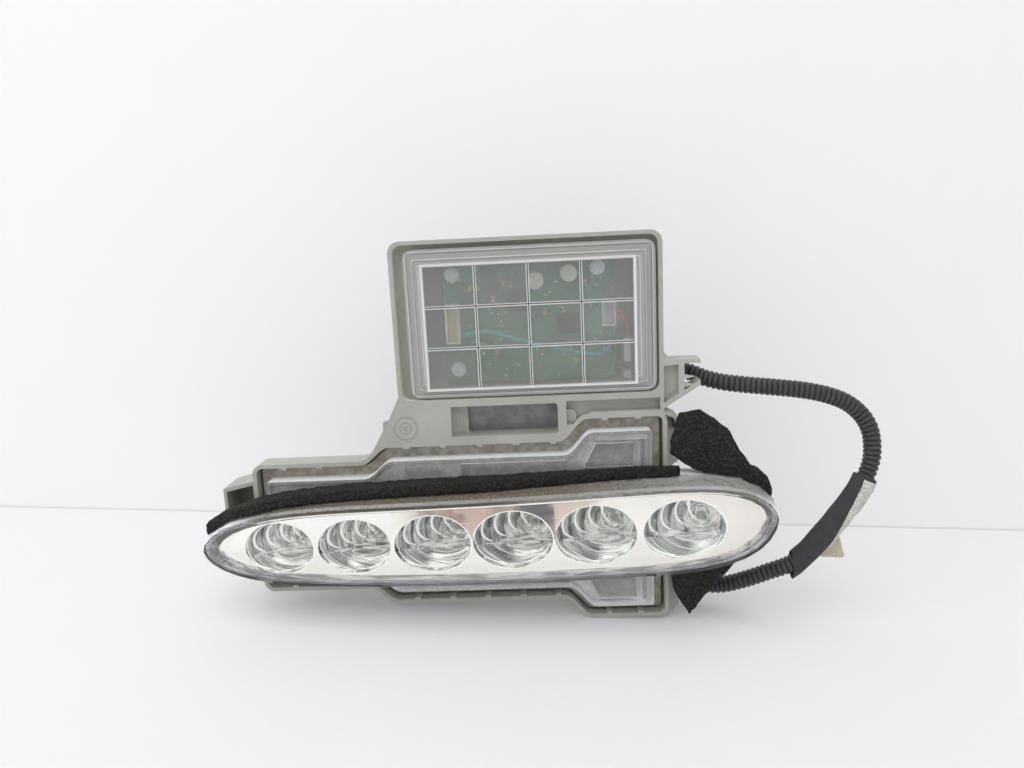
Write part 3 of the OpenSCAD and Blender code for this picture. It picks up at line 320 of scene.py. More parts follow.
# %% Cloth tape
tape_turns = [2 * math.pi * k / TAPE_SIDES for k in range(TAPE_SIDES)]
tape_points = [
    tape_point(s, angle, lift)
    for lift in (0.0, -TAPE_THICK)
    for s in tape_stations
    for angle in tape_turns
]
inner = len(tape_stations) * TAPE_SIDES
outer_faces = [f for f in tube_faces(len(tape_stations), TAPE_SIDES) if len(f) == 4]
tape_faces = outer_faces + [tuple(inner + i for i in reversed(f)) for f in outer_faces]
for k in range(TAPE_SIDES):
    n = (k + 1) % TAPE_SIDES
    end_k, end_n = inner - TAPE_SIDES + k, inner - TAPE_SIDES + n
    tape_faces.append((k, n, inner + n, inner + k))
    tape_faces.append((end_n, end_k, inner + end_k, inner + end_n))
tape = new_piece("cloth_tape_wrap", tape_points, tape_faces)
smooth_shaded(tape, 60)
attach(tape, "root")
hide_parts("tape_wrap")
print("tape faces:", len(tape.data.polygons))

# %% [markdown]
# A label of thin film is stuck along the outer edge of the tape. It goes round to the back, so
# from the front it shows as a wedge that narrows downwards. It is a thin skin a little off the
# tape, and its outer edge stands off in small crumples, where it no longer sticks.

# %% The label's shape
LABEL_RINGS, LABEL_COLUMNS = 60, 16
LABEL_LIFT, LABEL_THICK = 0.3, 0.2
LABEL_START, LABEL_LENGTH = 1.4, 0.66
LABEL_BACK, LABEL_FRONT = 120.0, 289.0
LOOSE_EDGE, LOOSE_HALF = 185, 22
label_from = tape_start + LABEL_START
label_to = tape_start + LABEL_LENGTH * tape_length


def label_front(t):
    """The angle of the front edge, in degrees: a torn line that draws back downwards."""
    ragged = 3 * noise.noise(Vector((t * 18, 4.2, 0)))
    return LABEL_FRONT - 48 * t - 22 * t**3 + ragged


def label_lift(t, share, angle):
    """How far the label stands off: crumpled near the tape's outer edge."""
    near_edge = math.exp(-(((math.degrees(angle) - LOOSE_EDGE) / LOOSE_HALF) ** 2))
    crumple = noise.noise(Vector((t * 26, share * 3, 2.5)))
    return LABEL_LIFT + near_edge * (0.4 + 0.75 * crumple)


label_points = []
for sunk in (0.0, LABEL_THICK):
    for i in range(LABEL_RINGS + 1):
        t = i / LABEL_RINGS
        s = label_from + (label_to - label_from) * t
        for k in range(LABEL_COLUMNS + 1):
            share = k / LABEL_COLUMNS
            angle = math.radians(LABEL_BACK + (label_front(t) - LABEL_BACK) * share)
            label_points.append(tape_point(s, angle, label_lift(t, share, angle) - sunk))
print("label points:", len(label_points))

# %% [markdown]
# The label's points stand in rows, first those of its face and then those of its underside. The
# faces of both layers and of the four narrow edges between them follow from the point numbers.

# %% Label on the tape
row = LABEL_COLUMNS + 1
under = row * (LABEL_RINGS + 1)
label_faces = []
for i in range(LABEL_RINGS):
    left, right = i * row, i * row + LABEL_COLUMNS
    for a in range(left, right):
        b = under + a
        label_faces.append((a, a + row, a + row + 1, a + 1))
        label_faces.append((b, b + 1, b + row + 1, b + row))
    label_faces.append((left, under + left, under + left + row, left + row))
    label_faces.append((right + row, under + right + row, under + right, right))
for k in range(LABEL_COLUMNS):
    a = LABEL_RINGS * row + k
    label_faces.append((k, k + 1, under + k + 1, under + k))
    label_faces.append((a + 1, a, under + a, under + a + 1))
label = new_piece("tape_paper_label", label_points, label_faces)
smooth_shaded(label, 40)
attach(label, "root")
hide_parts("tape_label")
print("label faces:", len(label.data.polygons))

# %% [markdown]
# The foam pieces are cut from open-cell foam: flat faces, torn edges and a surface full of pores.
# Their places are already right in the solids, so each starts as a copy of its solid. The copy is
# merged, rebuilt by a voxel remesh into small even faces, rounded by a smooth pass and then
# roughened by two displacements, one for the torn lumps and one for the pores.

# %% Foam pieces
def roughened(name, node, voxel_mm, lumps_mm, pores_mm, lump_size, pore_size):
    """Copies a solid's mesh and turns it into torn foam by modifiers that are applied."""
    mesh = nodes[node].data.copy()
    mesh.materials.clear()
    piece = bpy.data.objects.new(name, mesh)
    bpy.context.scene.collection.objects.link(piece)
    select_only(piece)
    bpy.ops.object.mode_set(mode="EDIT")
    bpy.ops.mesh.select_all(action="SELECT")
    bpy.ops.mesh.remove_doubles(threshold=0.00001)
    bpy.ops.object.mode_set(mode="OBJECT")
    rebuild = piece.modifiers.new("even faces", "REMESH")
    rebuild.mode = "VOXEL"
    rebuild.voxel_size = voxel_mm * MM
    soften = piece.modifiers.new("round edges", "SMOOTH")
    soften.factor = 0.5
    soften.iterations = 3
    for title, depth, size in (
        ("torn lumps", lumps_mm, lump_size),
        ("pores", pores_mm, pore_size),
    ):
        pattern = bpy.data.textures.new(f"{name} {title}", "CLOUDS")
        pattern.noise_scale = size * MM
        push = piece.modifiers.new(title, "DISPLACE")
        push.texture = pattern
        push.texture_coords = "LOCAL"
        push.strength = depth * MM
        push.mid_level = 0.5
    for modifier in list(piece.modifiers):
        bpy.ops.object.modifier_apply(modifier=modifier.name)
    for face in piece.data.polygons:
        face.use_smooth = True
    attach(piece, "root")
    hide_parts(node)
    print(name, "faces:", len(piece.data.polygons))
    return piece


upper_patch = roughened("foam_patch_over_tip", "foam_patch_upper", 0.8, 1.6, 0.9, 9, 1.3)
lower_patch = roughened("foam_patch_under_tip", "foam_patch_lower", 0.8, 1.2, 0.9, 9, 1.3)
strip = roughened("foam_strip_on_lens", "foam_strip", 0.9, 0.9, 0.8, 7, 1.2)
tag = roughened("cream_foam_tag", "foam_tag", 0.6, 0.8, 0.4, 5, 1.0)

# %% [markdown]
# The conduit is a free cord from its grommet on the box to its grommet on the lamp. The whole of
# it shows in the photograph, so its length is that of the line. This cell works out the cord's
# start and points in the scene and prints that length.

at(*CONDUIT_START)
[at(*p) for p in conduit_line]
print("cord declared, metres:", round(conduit_total[-1] * MM, 4))

# %% [markdown]
# The lamp lies on a white table in front of a white wall. Both are one plain colour. They are
# tilted a little against the lamp, because the lamp's stepped rim does not stand level.

# %% Table and wall
TABLE_TILT = math.radians(3.4)
TABLE_Z = -49.6
WALL_Y = 136.0
TABLE_SIZE = 6000.0


def plain_surface(name, turn, place):
    """A large flat stage piece. It is added flat at the origin, and its mesh is put in place."""
    bpy.ops.object.select_all(action="DESELECT")
    bpy.ops.mesh.primitive_plane_add(size=TABLE_SIZE * MM, location=(0, 0, 0))
    surface = bpy.context.active_object
    surface.name = name
    surface.data.transform(Matrix.Translation(place) @ turn)
    return surface


tilt = Matrix.Rotation(TABLE_TILT, 4, "Y")
table = plain_surface("white_table", tilt, at(0, 0, TABLE_Z))
wall = plain_surface("white_wall", tilt @ rotated(90, "X"), at(0, WALL_Y, 0))
print("table at scene Z", round(at(0, 0, TABLE_Z).z, 4))

# %% [markdown]
# Shader sums read better as Python than as rows of nodes. A Wire is one output of a node, and
# adding or multiplying wires adds the Math node for it.

# %% Wires
class Wire:
    """One output of a node, ready for sums."""

    def __init__(self, graph, socket):
        self.graph = graph
        self.socket = socket

    def other(self, name):
        return Wire(self.graph, self.socket.node.outputs[name])

    def maths(self, operation, *values):
        return self.graph.node(
            "ShaderNodeMath", {"operation": operation}, dict(enumerate(values))
        )

    def __add__(self, value):
        return self.maths("ADD", self, value)

    __radd__ = __add__

    def __sub__(self, value):
        return self.maths("SUBTRACT", self, value)

    def __rsub__(self, value):
        return self.maths("SUBTRACT", value, self)

    def __mul__(self, value):
        return self.maths("MULTIPLY", self, value)

    __rmul__ = __mul__

    def __truediv__(self, value):
        return self.maths("DIVIDE", self, value)

    def __abs__(self):
        return self.maths("ABSOLUTE", self)

    def most(self, value):
        return self.maths("MAXIMUM", self, value)

    def least(self, value):
        return self.maths("MINIMUM", self, value)

    def root(self):
        return self.maths("SQRT", self)


print("wires ready")

# %% [markdown]
# A Graph holds the nodes of a material or of the world. Its method called node adds any node,
# with the node's settings first and then what goes into its sockets. The others add the few
# nodes that nearly every finish needs: clouds, cells, smooth steps, mixes and bumps. Patterns are
# set in millimetres, because a real surface has them at a real size.

# %% Graphs
class Graph:
    """The nodes of one material or of the world, built by calls."""

    def __init__(self, owner, end, place):
        owner.use_nodes = True
        self.tree = owner.node_tree
        self.tree.nodes.clear()
        self.end = self.tree.nodes.new(end)
        self.place = self.node("ShaderNodeTexCoord", output=place)

    def node(self, kind, settings=None, sockets=None, output=0):
        made = self.tree.nodes.new(kind)
        for name, value in (settings or {}).items():
            if name in ("stops", "stairs"):
                ramp = made.color_ramp
                ramp.interpolation = "LINEAR" if name == "stops" else "CONSTANT"
                ramp.elements.remove(ramp.elements[1])
                ramp.elements[0].position, ramp.elements[0].color = value[0]
                for position, colour in value[1:]:
                    ramp.elements.new(position).color = colour
            else:
                setattr(made, name, value)
        for name, value in (sockets or {}).items():
            if isinstance(value, Wire):
                self.tree.links.new(value.socket, made.inputs[name])
            else:
                made.inputs[name].default_value = value
        return Wire(self, made.outputs[output])

    def stretched(self, size, stretch):
        """The place, counted in parts of a size in millimetres."""
        scale = tuple(s / (size * MM) for s in stretch)
        return self.node("ShaderNodeMapping", {}, {"Vector": self.place, "Scale": scale})

    def noise_at(self, where, detail, rough, distortion=0.0):
        return self.node(
            "ShaderNodeTexNoise",
            {"noise_dimensions": "3D"},
            {
                "Vector": where,
                "Scale": 1.0,
                "Detail": detail,
                "Roughness": rough,
                "Distortion": distortion,
            },
        )

    def cloud(self, size, detail=3.0, rough=0.55, stretch=(1, 1, 1)):
        """Noise from 0 to 1 with lumps of a size in millimetres."""
        return self.noise_at(self.stretched(size, stretch), detail, rough)

    def cells(self, size, stretch=(1, 1, 1)):
        """The distance to the middle of the nearest of many cells."""
        where = self.stretched(size, stretch)
        return self.node("ShaderNodeTexVoronoi", {}, {"Vector": where, "Scale": 1.0})

    def step(self, value, low, high, start=0.0, end=1.0):
        """Goes smoothly from start to end while value goes from low to high."""
        return self.node(
            "ShaderNodeMapRange",
            {"interpolation_type": "SMOOTHSTEP"},
            {"Value": value, "From Min": low, "From Max": high, "To Min": start, "To Max": end},
        )

    def fall(self, value, low, high):
        """Goes smoothly from 1 down to 0."""
        return self.step(value, low, high, 1.0, 0.0)

    def between(self, value, low, high, soft):
        """1 where value lies between low and high, with soft edges."""
        return self.step(value, low - soft, low + soft) * self.fall(
            value, high - soft, high + soft
        )

    def mix(self, share, first, second):
        return self.node(
            "ShaderNodeMix",
            {"data_type": "RGBA"},
            {0: share, 6: first, 7: second},
            output=2,
        )

    def bump(self, height, depth, under=None):
        """A Bump node of a depth in millimetres, over another one if that is given."""
        sockets = {"Height": height, "Distance": depth * MM, "Strength": 1.0}
        if under is not None:
            sockets["Normal"] = under
        return self.node("ShaderNodeBump", {}, sockets)

    def shader(self, kind, sockets):
        return self.node("ShaderNode" + kind, {}, sockets)

    def plastic(self, **sockets):
        """The Principled shader. Its socket names are written with underscores."""
        names = {name.replace("_", " "): value for name, value in sockets.items()}
        return self.shader("BsdfPrincipled", names)

    def shown(self, shader):
        self.tree.links.new(shader.socket, self.end.inputs["Surface"])


print("graphs ready")

# %% [markdown]
# A Finish is the graph of one material. It knows places and normals on the drawing's axes, so a
# mask can use the same measures as the drawing. Colours are written as they look on a screen and
# turned into the linear values that a shader wants.

# %% Finishes
BLACK = (0.0, 0.0, 0.0, 1.0)
WHITE = (1.0, 1.0, 1.0, 1.0)


def paint(red, green, blue):
    """A screen colour from 0 to 255 as the linear colour that a shader wants."""

    def linear(c):
        c /= 255
        return c / 12.92 if c <= 0.04045 else ((c + 0.055) / 1.055) ** 2.4

    return (linear(red), linear(green), linear(blue), 1.0)


class Finish(Graph):
    """One material, with places and normals on the drawing's axes."""

    def __init__(self, name):
        self.material = bpy.data.materials.new(name)
        super().__init__(self.material, "ShaderNodeOutputMaterial", "Object")
        self.axes = self.node("ShaderNodeSeparateXYZ", {}, {0: self.place})
        self.facing = self.node("ShaderNodeSeparateXYZ", {}, {0: self.place.other("Normal")})

    def drawn(self, axis):
        """The place along one drawing axis, in millimetres."""
        wire = self.axes.other(axis) * (1 / MM)
        return wire + LENS_BASE_Y if axis == "Y" else wire

    def turned(self, axis):
        """1 where a face looks along the axis, either way, and 0 where it stands square to it."""
        return abs(self.facing.other(axis))

    def done(self, shader):
        self.shown(shader)
        return self.material


def dress(material, *names):
    """Gives the material to solids by name, or to pieces."""
    for name in names:
        piece = nodes[name] if isinstance(name, str) else name
        if not piece.data.materials:
            piece.data.materials.append(material)
        for index in range(len(piece.data.materials)):
            piece.data.materials[index] = material


print("finish helpers ready")

# %% [markdown]
# The housing is pale grey moulded plastic, dull on its outside and shiny where it was polished in
# the mould. Years under a bumper left brown grime in its corners, which collects where little air
# gets in. The Ambient Occlusion node finds those corners on the piece's own shape, and noise
# breaks the grime up. Inside the box the grime is mostly left out, and the box's inner walls are
# painted much lighter than the rest, as painted light against the shade in that recess. A fine
# grain in the bump gives the moulded sheen.

# %% Grey housing plastic
BOX_X, BOX_Z = (-28, 98.9), (62, 139)
BOX_DEEP = (7, 8)
GRIME_REACH = 3.5


def grimy(f):
    """Where grime gathers: deep corners, broken up by noise."""
    open_air = f.node(
        "ShaderNodeAmbientOcclusion",
        {"samples": 8, "only_local": True},
        {"Distance": GRIME_REACH * MM},
        output=1,
    )
    return f.fall(open_air, 0.02, 0.55) * f.step(f.cloud(5, 4, 0.65), 0.32, 0.68)


def housing_plastic():
    f = Finish("grey housing plastic")
    patches = f.step(f.cloud(26, 3), 0.3, 0.7)
    dust = f.step(f.cloud(3.2, 4, 0.7), 0.5, 0.8)
    specks = f.step(f.cloud(1.1, 2, 0.6), 0.69, 0.76)
    in_box = f.between(f.drawn("X"), *BOX_X, 0.3) * f.between(f.drawn("Z"), *BOX_Z, 0.3)
    painted_light_on_box_walls = in_box * f.fall(f.drawn("Y"), *BOX_DEEP) * f.fall(f.turned("Y"), 0.4, 0.7)
    grime = grimy(f) * (1.0 - 0.85 * in_box)
    base = f.mix(patches, paint(180, 181, 174), paint(170, 171, 163))
    # Painted light: the box's inner walls get a much lighter colour than the rest of the housing.
    base = f.mix(painted_light_on_box_walls, base, paint(230, 230, 223))
    base = f.mix(dust * 0.3, base, paint(164, 161, 148))
    base = f.mix(grime * 0.6, base, paint(112, 102, 84))
    base = f.mix(specks * 0.5, base, paint(128, 118, 98))
    rough = 0.42 + grime * 0.3 + patches * 0.06
    grain = f.bump(f.cloud(0.35, 2), 0.02, f.bump(f.cloud(9, 2), 0.05))
    return f.done(
        f.plastic(Base_Color=base, Roughness=rough, Normal=grain, Specular_IOR_Level=0.4)
    )


dress(housing_plastic(), "housing")
print("housing dressed")

# %% [markdown]
# Lens and cover are clear polycarbonate. Lamps must reach what is behind it, so rays that only
# test for shadow pass straight through. Old clear plastic is never clear all over, so a mask
# mixes in a dull shader, which stands for dirt and haze and also carries painted highlights,
# painted shade and a painted glow.

# %% Clear plastic
CLEAR_IOR = 1.49


def clear_body(f, roughness, dirt_and_painted_light, coat_colour_with_painted_light, tint, normal=None, glow=None):
    """Clear plastic that lets shadow rays pass, covered by a dull coat where the mask says."""
    clear_sockets = {
        "Base Color": tint,
        "Roughness": roughness,
        "IOR": CLEAR_IOR,
        "Transmission Weight": 1.0,
    }
    # The dull coat carries dirt and haze, and also painted highlights, painted shade and a painted
    # glow.
    dull_sockets = {"Base Color": coat_colour_with_painted_light, "Roughness": 0.8}
    if normal is not None:
        clear_sockets["Normal"] = normal
        dull_sockets["Normal"] = normal
    if glow is not None:
        dull_sockets["Emission Color"] = glow
        dull_sockets["Emission Strength"] = 1.0
    clear = f.shader("BsdfPrincipled", clear_sockets)
    dull = f.shader("BsdfPrincipled", dull_sockets)
    passing = f.shader("BsdfTransparent", {"Color": (0.93, 0.94, 0.94, 1.0)})
    shadow = f.node("ShaderNodeLightPath").other("Is Shadow Ray")
    lit = f.shader("MixShader", {0: shadow, 1: clear, 2: passing})
    return f.shader("MixShader", {0: dirt_and_painted_light, 1: lit, 2: dull})


print("clear plastic ready")

# %% [markdown]
# On the lens the dull coat is brown dried dirt on the upper wall, a pale haze on the lower wall,
# painted light against its shade, with painted glints and painted dark and white reflection lines,
# and painted white highlights on the flange, where its small steps would catch the light. The
# flange is painted lighter below than above, as painted light against the shade down there. The
# masks ask which way the face looks and how deep the point lies, so the bowed front stays clear
# and the dirt stops at the rounded edge, which is a smooth grey. The lower wall has a painted
# glow, which stands in for the light that clear plastic carries from its lit face to its shaded
# edge.

# %% Clear lens
UPPER_WALL_Z = (8, 14)
WALL_BASE_Y = (-5, -3)
FLANGE_FRONT_Y = (-4.4, -3.6)
DIRT_FADES_X = (10, 120)
PIPED_GLOW = (0.12, 0.12, 0.124, 1.0)


def lens_plastic():
    f = Finish("clear lens plastic")
    x, y, z = f.drawn("X"), f.drawn("Y"), f.drawn("Z")
    turned = f.turned("Y")
    sideways = f.fall(turned, 0.5, 0.8)
    rounded = f.fall(turned, 0.74, 0.92)
    off_the_edge = f.fall(turned, 0.3, 0.5)
    upper = f.step(z, *UPPER_WALL_Z)
    lower = 1.0 - upper
    on_wall = sideways * f.fall(y, *WALL_BASE_Y)
    on_flange = f.step(y, *FLANGE_FRONT_Y)
    steps = on_flange * sideways

    spots = f.step(f.cloud(2.2, 5, 0.7), 0.44, 0.64)
    streaks = f.step(f.cloud(7, 3, 0.6, (0.3, 1, 1)), 0.36, 0.62)
    dirtier_left = f.step(x, *DIRT_FADES_X, 1.0, 0.4)
    dirt_and_painted_light = upper * on_wall * off_the_edge * (0.36 + 0.5 * spots * streaks) * dirtier_left
    droplets = f.fall(f.cells(1.9), 0.16, 0.24) * upper * on_wall

    # Painted highlights and reflections on the lower wall: long glints, a dark reflection line and
    # a white highlight line, set by which way the face looks.
    painted_glints = f.step(f.cloud(2.6, 3, 0.6, (0.1, 1, 1)), 0.42, 0.58)
    painted_dark_reflection = f.between(turned, 0.59, 0.75, 0.03)
    painted_white_highlight = f.between(turned, 0.37, 0.53, 0.03)
    # The lower wall gets more of the pale coat, as painted light against its shade.
    wall_haze = (on_wall * (0.42 + 0.36 * lower)).most(rounded * 0.3)
    flange_haze = on_flange * (0.44 + 0.3 * f.step(f.cloud(6, 4, 0.7), 0.4, 0.8))
    haze = wall_haze.most(flange_haze).most(steps * 0.88)
    below = f.mix(painted_glints, paint(140, 142, 147), paint(246, 247, 250))
    below = f.mix(painted_dark_reflection * 0.8, below, paint(84, 86, 100))
    below = f.mix(painted_white_highlight * 0.9, below, WHITE)
    walls = f.mix(upper, below, paint(214, 215, 213))
    # Painted light: the flange is painted lighter below than above, against the shade it lies in,
    # and its small steps get painted white highlights.
    flat = f.mix(f.step(z, -4, 4), paint(236, 237, 237), paint(200, 200, 197))
    hazy = f.mix(on_flange, walls, f.mix(steps, flat, paint(246, 248, 248)))
    colour = f.mix(f.step(dirt_and_painted_light, 0.05, 0.4), hazy, paint(142, 134, 116))
    colour = f.mix(droplets * 0.6, colour, paint(204, 199, 184))
    # Painted glow: the lower wall and flange glow, which stands in for light carried through the
    # clear plastic.
    carried = 0.2 + 0.5 * painted_glints + 0.5 * painted_white_highlight
    piped_light = lower * sideways.most(on_flange * 0.5) * carried
    glow = f.mix(piped_light, BLACK, PIPED_GLOW)
    return f.done(
        clear_body(f, 0.03, haze.most(dirt_and_painted_light), colour, paint(254, 254, 253), glow=glow)
    )


dress(lens_plastic(), "outer_lens")
print("lens dressed")

# %% [markdown]
# The reflector is moulded plastic with a bright metal film. Fine white lines are painted on the
# sharp edges of the ring steps in its cups, as highlights that those edges would catch. The shader
# places them from the same measures as the solid: a ramp with six level stairs along X hands out
# the middle, height and width of the cup that a point belongs to, each packed into the range from
# 0 to 1.

# %% Measures of the cups
CUP_X = (-88.6, -51.1, -13.3, 24.8, 63.9, 105.7)
CUP_Z = (-3.4, -2.3, -1.6, -0.7, -0.1, -0.1)
CUP_H = (25.3, 26.5, 27.7, 27.9, 28.8, 28.8)
CUP_W = (34.8, 35.72, 36.64, 37.56, 38.48, 39.4)
ROW_FROM, ROW_TO = -115.0, 135.0
Z_RANGE, SIZE_RANGE = 5.0, 40.0


def cup_of(f, x):
    """The middle's X and Z, the height and the width of the cup at a point, as four wires."""
    span = ROW_TO - ROW_FROM
    stairs = []
    for i, middle in enumerate(CUP_X):
        start = ROW_FROM if i == 0 else (CUP_X[i - 1] + middle) / 2
        packed = (
            (middle - ROW_FROM) / span,
            (CUP_Z[i] + Z_RANGE) / Z_RANGE,
            CUP_H[i] / SIZE_RANGE,
            CUP_W[i] / SIZE_RANGE,
        )
        stairs.append(((start - ROW_FROM) / span, packed))
    ramp = f.node("ShaderNodeValToRGB", {"stairs": stairs}, {0: (x - ROW_FROM) * (1 / span)})
    split = f.node("ShaderNodeSeparateColor", {}, {0: ramp})
    return (
        split * span + ROW_FROM,
        split.other("Green") * Z_RANGE - Z_RANGE,
        split.other("Blue") * SIZE_RANGE,
        ramp.other("Alpha") * SIZE_RANGE,
    )


print("cups measured:", len(CUP_X))

# %% [markdown]
# Each cup has painted highlight lines: small rings round a shifted middle above its divide and
# larger ones below. Above the divide the photograph also shows white crescents, painted here as
# highlights too, and each of those is the moon left by two circles, one a little aside. Between
# the lines the film's colour swirls as painted reflection: noise on polar coordinates, from the
# distance and the angle round the same middle, turns with the rings. All distances are shares of
# the cup's width.

# %% Lines in the cups
EYE_MIDDLE, EYE_RADII = (0.265, 0.1), (0.07, 0.12, 0.17)
SMILE_MIDDLE, SMILE_RADII = (0.155, 0.38), (0.465, 0.56, 0.68, 0.8)
CRESCENTS = (
    (0.343, 0.203, 0.255), (0.143, 0.137, 0.222), (-0.039, 0.102, 0.222), (-0.21, 0.067, 0.21),
)
CRESCENT_THICK, CRESCENT_SOFT = 0.028, 0.008
LINE_HALF = 0.011


def ring_lines(f, distance, radii):
    """1 close to each radius: one ramp with a narrow peak for every ring."""
    stops = [(0.0, BLACK)]
    for radius in radii:
        stops += [(radius - LINE_HALF, BLACK), (radius, WHITE), (radius + LINE_HALF, BLACK)]
    ramp = f.node("ShaderNodeValToRGB", {"stops": stops}, {0: distance})
    return f.node("ShaderNodeSeparateColor", {}, {0: ramp})


def rings_round(f, cup, middle, radii):
    """The rings round a middle, and the swirl between them."""
    u, v, cup_x, wide, high = cup
    du, dv = u / wide - middle[0], v / wide - middle[1] * high / wide
    far = (du * du + dv * dv).root()
    angle = f.node("ShaderNodeMath", {"operation": "ARCTAN2"}, {0: dv, 1: du})
    polar = {0: far * 20, 1: angle * 1.3, 2: cup_x * 0.3}
    swirl = f.noise_at(f.node("ShaderNodeCombineXYZ", {}, polar), 4.0, 0.6, 0.6)
    return ring_lines(f, far, radii), swirl


def crescent(f, cup, du, dv, radius):
    """What one circle leaves of another that lies a little to its left."""
    u, v, _, wide, _ = cup
    across, along = u / wide - du, v / wide - dv
    moved = across - CRESCENT_THICK
    outer = (across * across + along * along).root()
    inner = (moved * moved + along * along).root()
    thin = radius - CRESCENT_SOFT
    return f.fall(outer, thin, radius) * f.step(inner, thin, radius)


print("crescents in each cup:", len(CRESCENTS))

# %% [markdown]
# The flat front of the reflector mirrors the room and needs little paint of its own. In the cups
# the film is painted greyer, with lighter and darker swirls as painted reflection, and it is
# lighter towards the right. The white lines are painted highlights, less metallic and rougher than
# the film, and they glow weakly, which stands for the glint of an edge too fine to reflect by
# itself.

# %% Mirror film
DIVIDE = -0.16
RIM_SCALE = 16
TO_RIGHT_X = (40, 120)


def mirror_film():
    f = Finish("reflector mirror film")
    x, z = f.drawn("X"), f.drawn("Z")
    middle_x, middle_z, high, wide = cup_of(f, x)
    u, v = x - middle_x, z - middle_z
    cup = (u, v, middle_x, wide, high)
    eu, ev = u / wide * 2, v / high * 2
    edge = ((eu * eu + ev * ev).root() - 1) * RIM_SCALE
    forward = f.step(f.turned("Y"), 0.5, 0.7)
    inside = f.fall(edge, -0.25, 0.1).most((1.0 - forward) * f.fall(edge, 0.8, 2))
    rim = f.fall(abs(edge), 0.2, 0.65) * forward
    upper = f.step(v - high * DIVIDE, -0.1, 0.1)
    lower = 1.0 - upper

    eye, bowl_swirl = rings_round(f, cup, EYE_MIDDLE, EYE_RADII)
    smile, smile_swirl = rings_round(f, cup, SMILE_MIDDLE, SMILE_RADII)
    moons = eye * (0.12 + 0.4 * f.step(x, 0, 110))
    for moon in CRESCENTS:
        moons = moons.most(crescent(f, cup, *moon))
    arcs = moons * upper + smile * lower
    swirl = bowl_swirl * upper + smile_swirl * lower
    shelf = inside * f.step(f.turned("Z"), 0.6, 0.8)
    painted_shelf_glints = f.step(f.cloud(2.4, 3, 0.6, (0.25, 1, 1)), 0.4, 0.6)
    # Painted highlights: the cup rims, the rings, the crescents and streaks on the shelf faces.
    painted_highlights = rim.most(inside * arcs).most(shelf * painted_shelf_glints * 0.9)

    # Painted reflection: the swirl sets lighter and darker grey in the cups. The film is also made
    # lighter towards the right.
    tone = f.mix(f.step(swirl, 0.3, 0.68), paint(122, 127, 122), paint(230, 232, 229))
    tone = f.mix(f.step(x, *TO_RIGHT_X) * 0.45, tone, paint(226, 228, 227))
    haze = f.step(f.cloud(12, 3), 0.4, 0.75)
    flat = f.mix(haze, paint(255, 255, 252), paint(250, 249, 245))
    flat = f.mix(f.step(x, 60, 130), flat, paint(250, 247, 243))
    ripple = f.bump(f.cloud(6, 1), 0.012, f.bump(swirl * inside, 0.25))
    return f.done(
        f.plastic(
            Base_Color=f.mix(painted_highlights, f.mix(inside, flat, tone), paint(252, 253, 252)),
            Metallic=1.0 - painted_highlights * 0.85,
            Roughness=0.03 + haze * 0.04 + inside * 0.12 + painted_highlights * 0.4,
            Normal=ripple,
            Emission_Color=f.mix(painted_highlights, BLACK, WHITE),
            Emission_Strength=0.3,
        )
    )


dress(mirror_film(), "reflector_bezel")
print("reflector dressed")

# %% [markdown]
# The box's cover is the same clear plastic with a lightly frosted inside, so the board behind it
# looks hazy. Its window is divided into four by three cells by cut grooves. Their edges and the
# window's frame get painted highlights as white lines, and the grooves get painted shade.
# Outside the window the cover lies on the housing and looks milky, with thin ridges that run round
# it, painted as white highlights with a line of painted shade beside each. The window and its
# grooves are real shape in the solid. What is drawn here, by masks from the same measures, is
# this painted light and shade on their edges.

# %% Lines of the cover
WINDOW_X, WINDOW_Z = (-13.2, 86.4), (68.6, 128.0)
COVER_X, COVER_Z = (-22.2, 96.4), (64.2, 135.6)
CELLS_X, CELLS_Z = 4, 3
GROOVE_HALF, LINE_PAIR_HALF, LINE_SOFT = 0.3, 0.7, 0.12
RIDGE_SCALE = 0.04
RIDGES, BESIDE_RIDGES = (0.05, 0.19, 0.3), (0.075, 0.215)


def line_mask(f, value, start, pitch, half, soft):
    """1 close to evenly spaced lines."""
    place = (value - start) * (1 / pitch) + 0.5
    part = f.node("ShaderNodeMath", {"operation": "FRACT"}, {0: place + 8.0}) - 0.5
    return f.fall(abs(part) * pitch, half - soft, half + soft)


def window(f, x, z, grown, soft):
    """1 in the cover's window, grown by some millimetres on each side."""
    return f.between(x, WINDOW_X[0] - grown, WINDOW_X[1] + grown, soft) * f.between(
        z, WINDOW_Z[0] - grown, WINDOW_Z[1] + grown, soft
    )


def lattice(f, x, z, half):
    """1 close to the lines between the window's cells."""
    pitch_x = (WINDOW_X[1] - WINDOW_X[0]) / CELLS_X
    pitch_z = (WINDOW_Z[1] - WINDOW_Z[0]) / CELLS_Z
    return line_mask(f, x, WINDOW_X[0], pitch_x, half, LINE_SOFT).most(
        line_mask(f, z, WINDOW_Z[0], pitch_z, half, LINE_SOFT)
    )


print("cells of the window:", CELLS_X * CELLS_Z)

# %% [markdown]
# The cover's finish lays these masks over each other: first the veil, which says how much of the
# dull coat hides the clear plastic, and then the coat's colour. The fine frost is a bump.

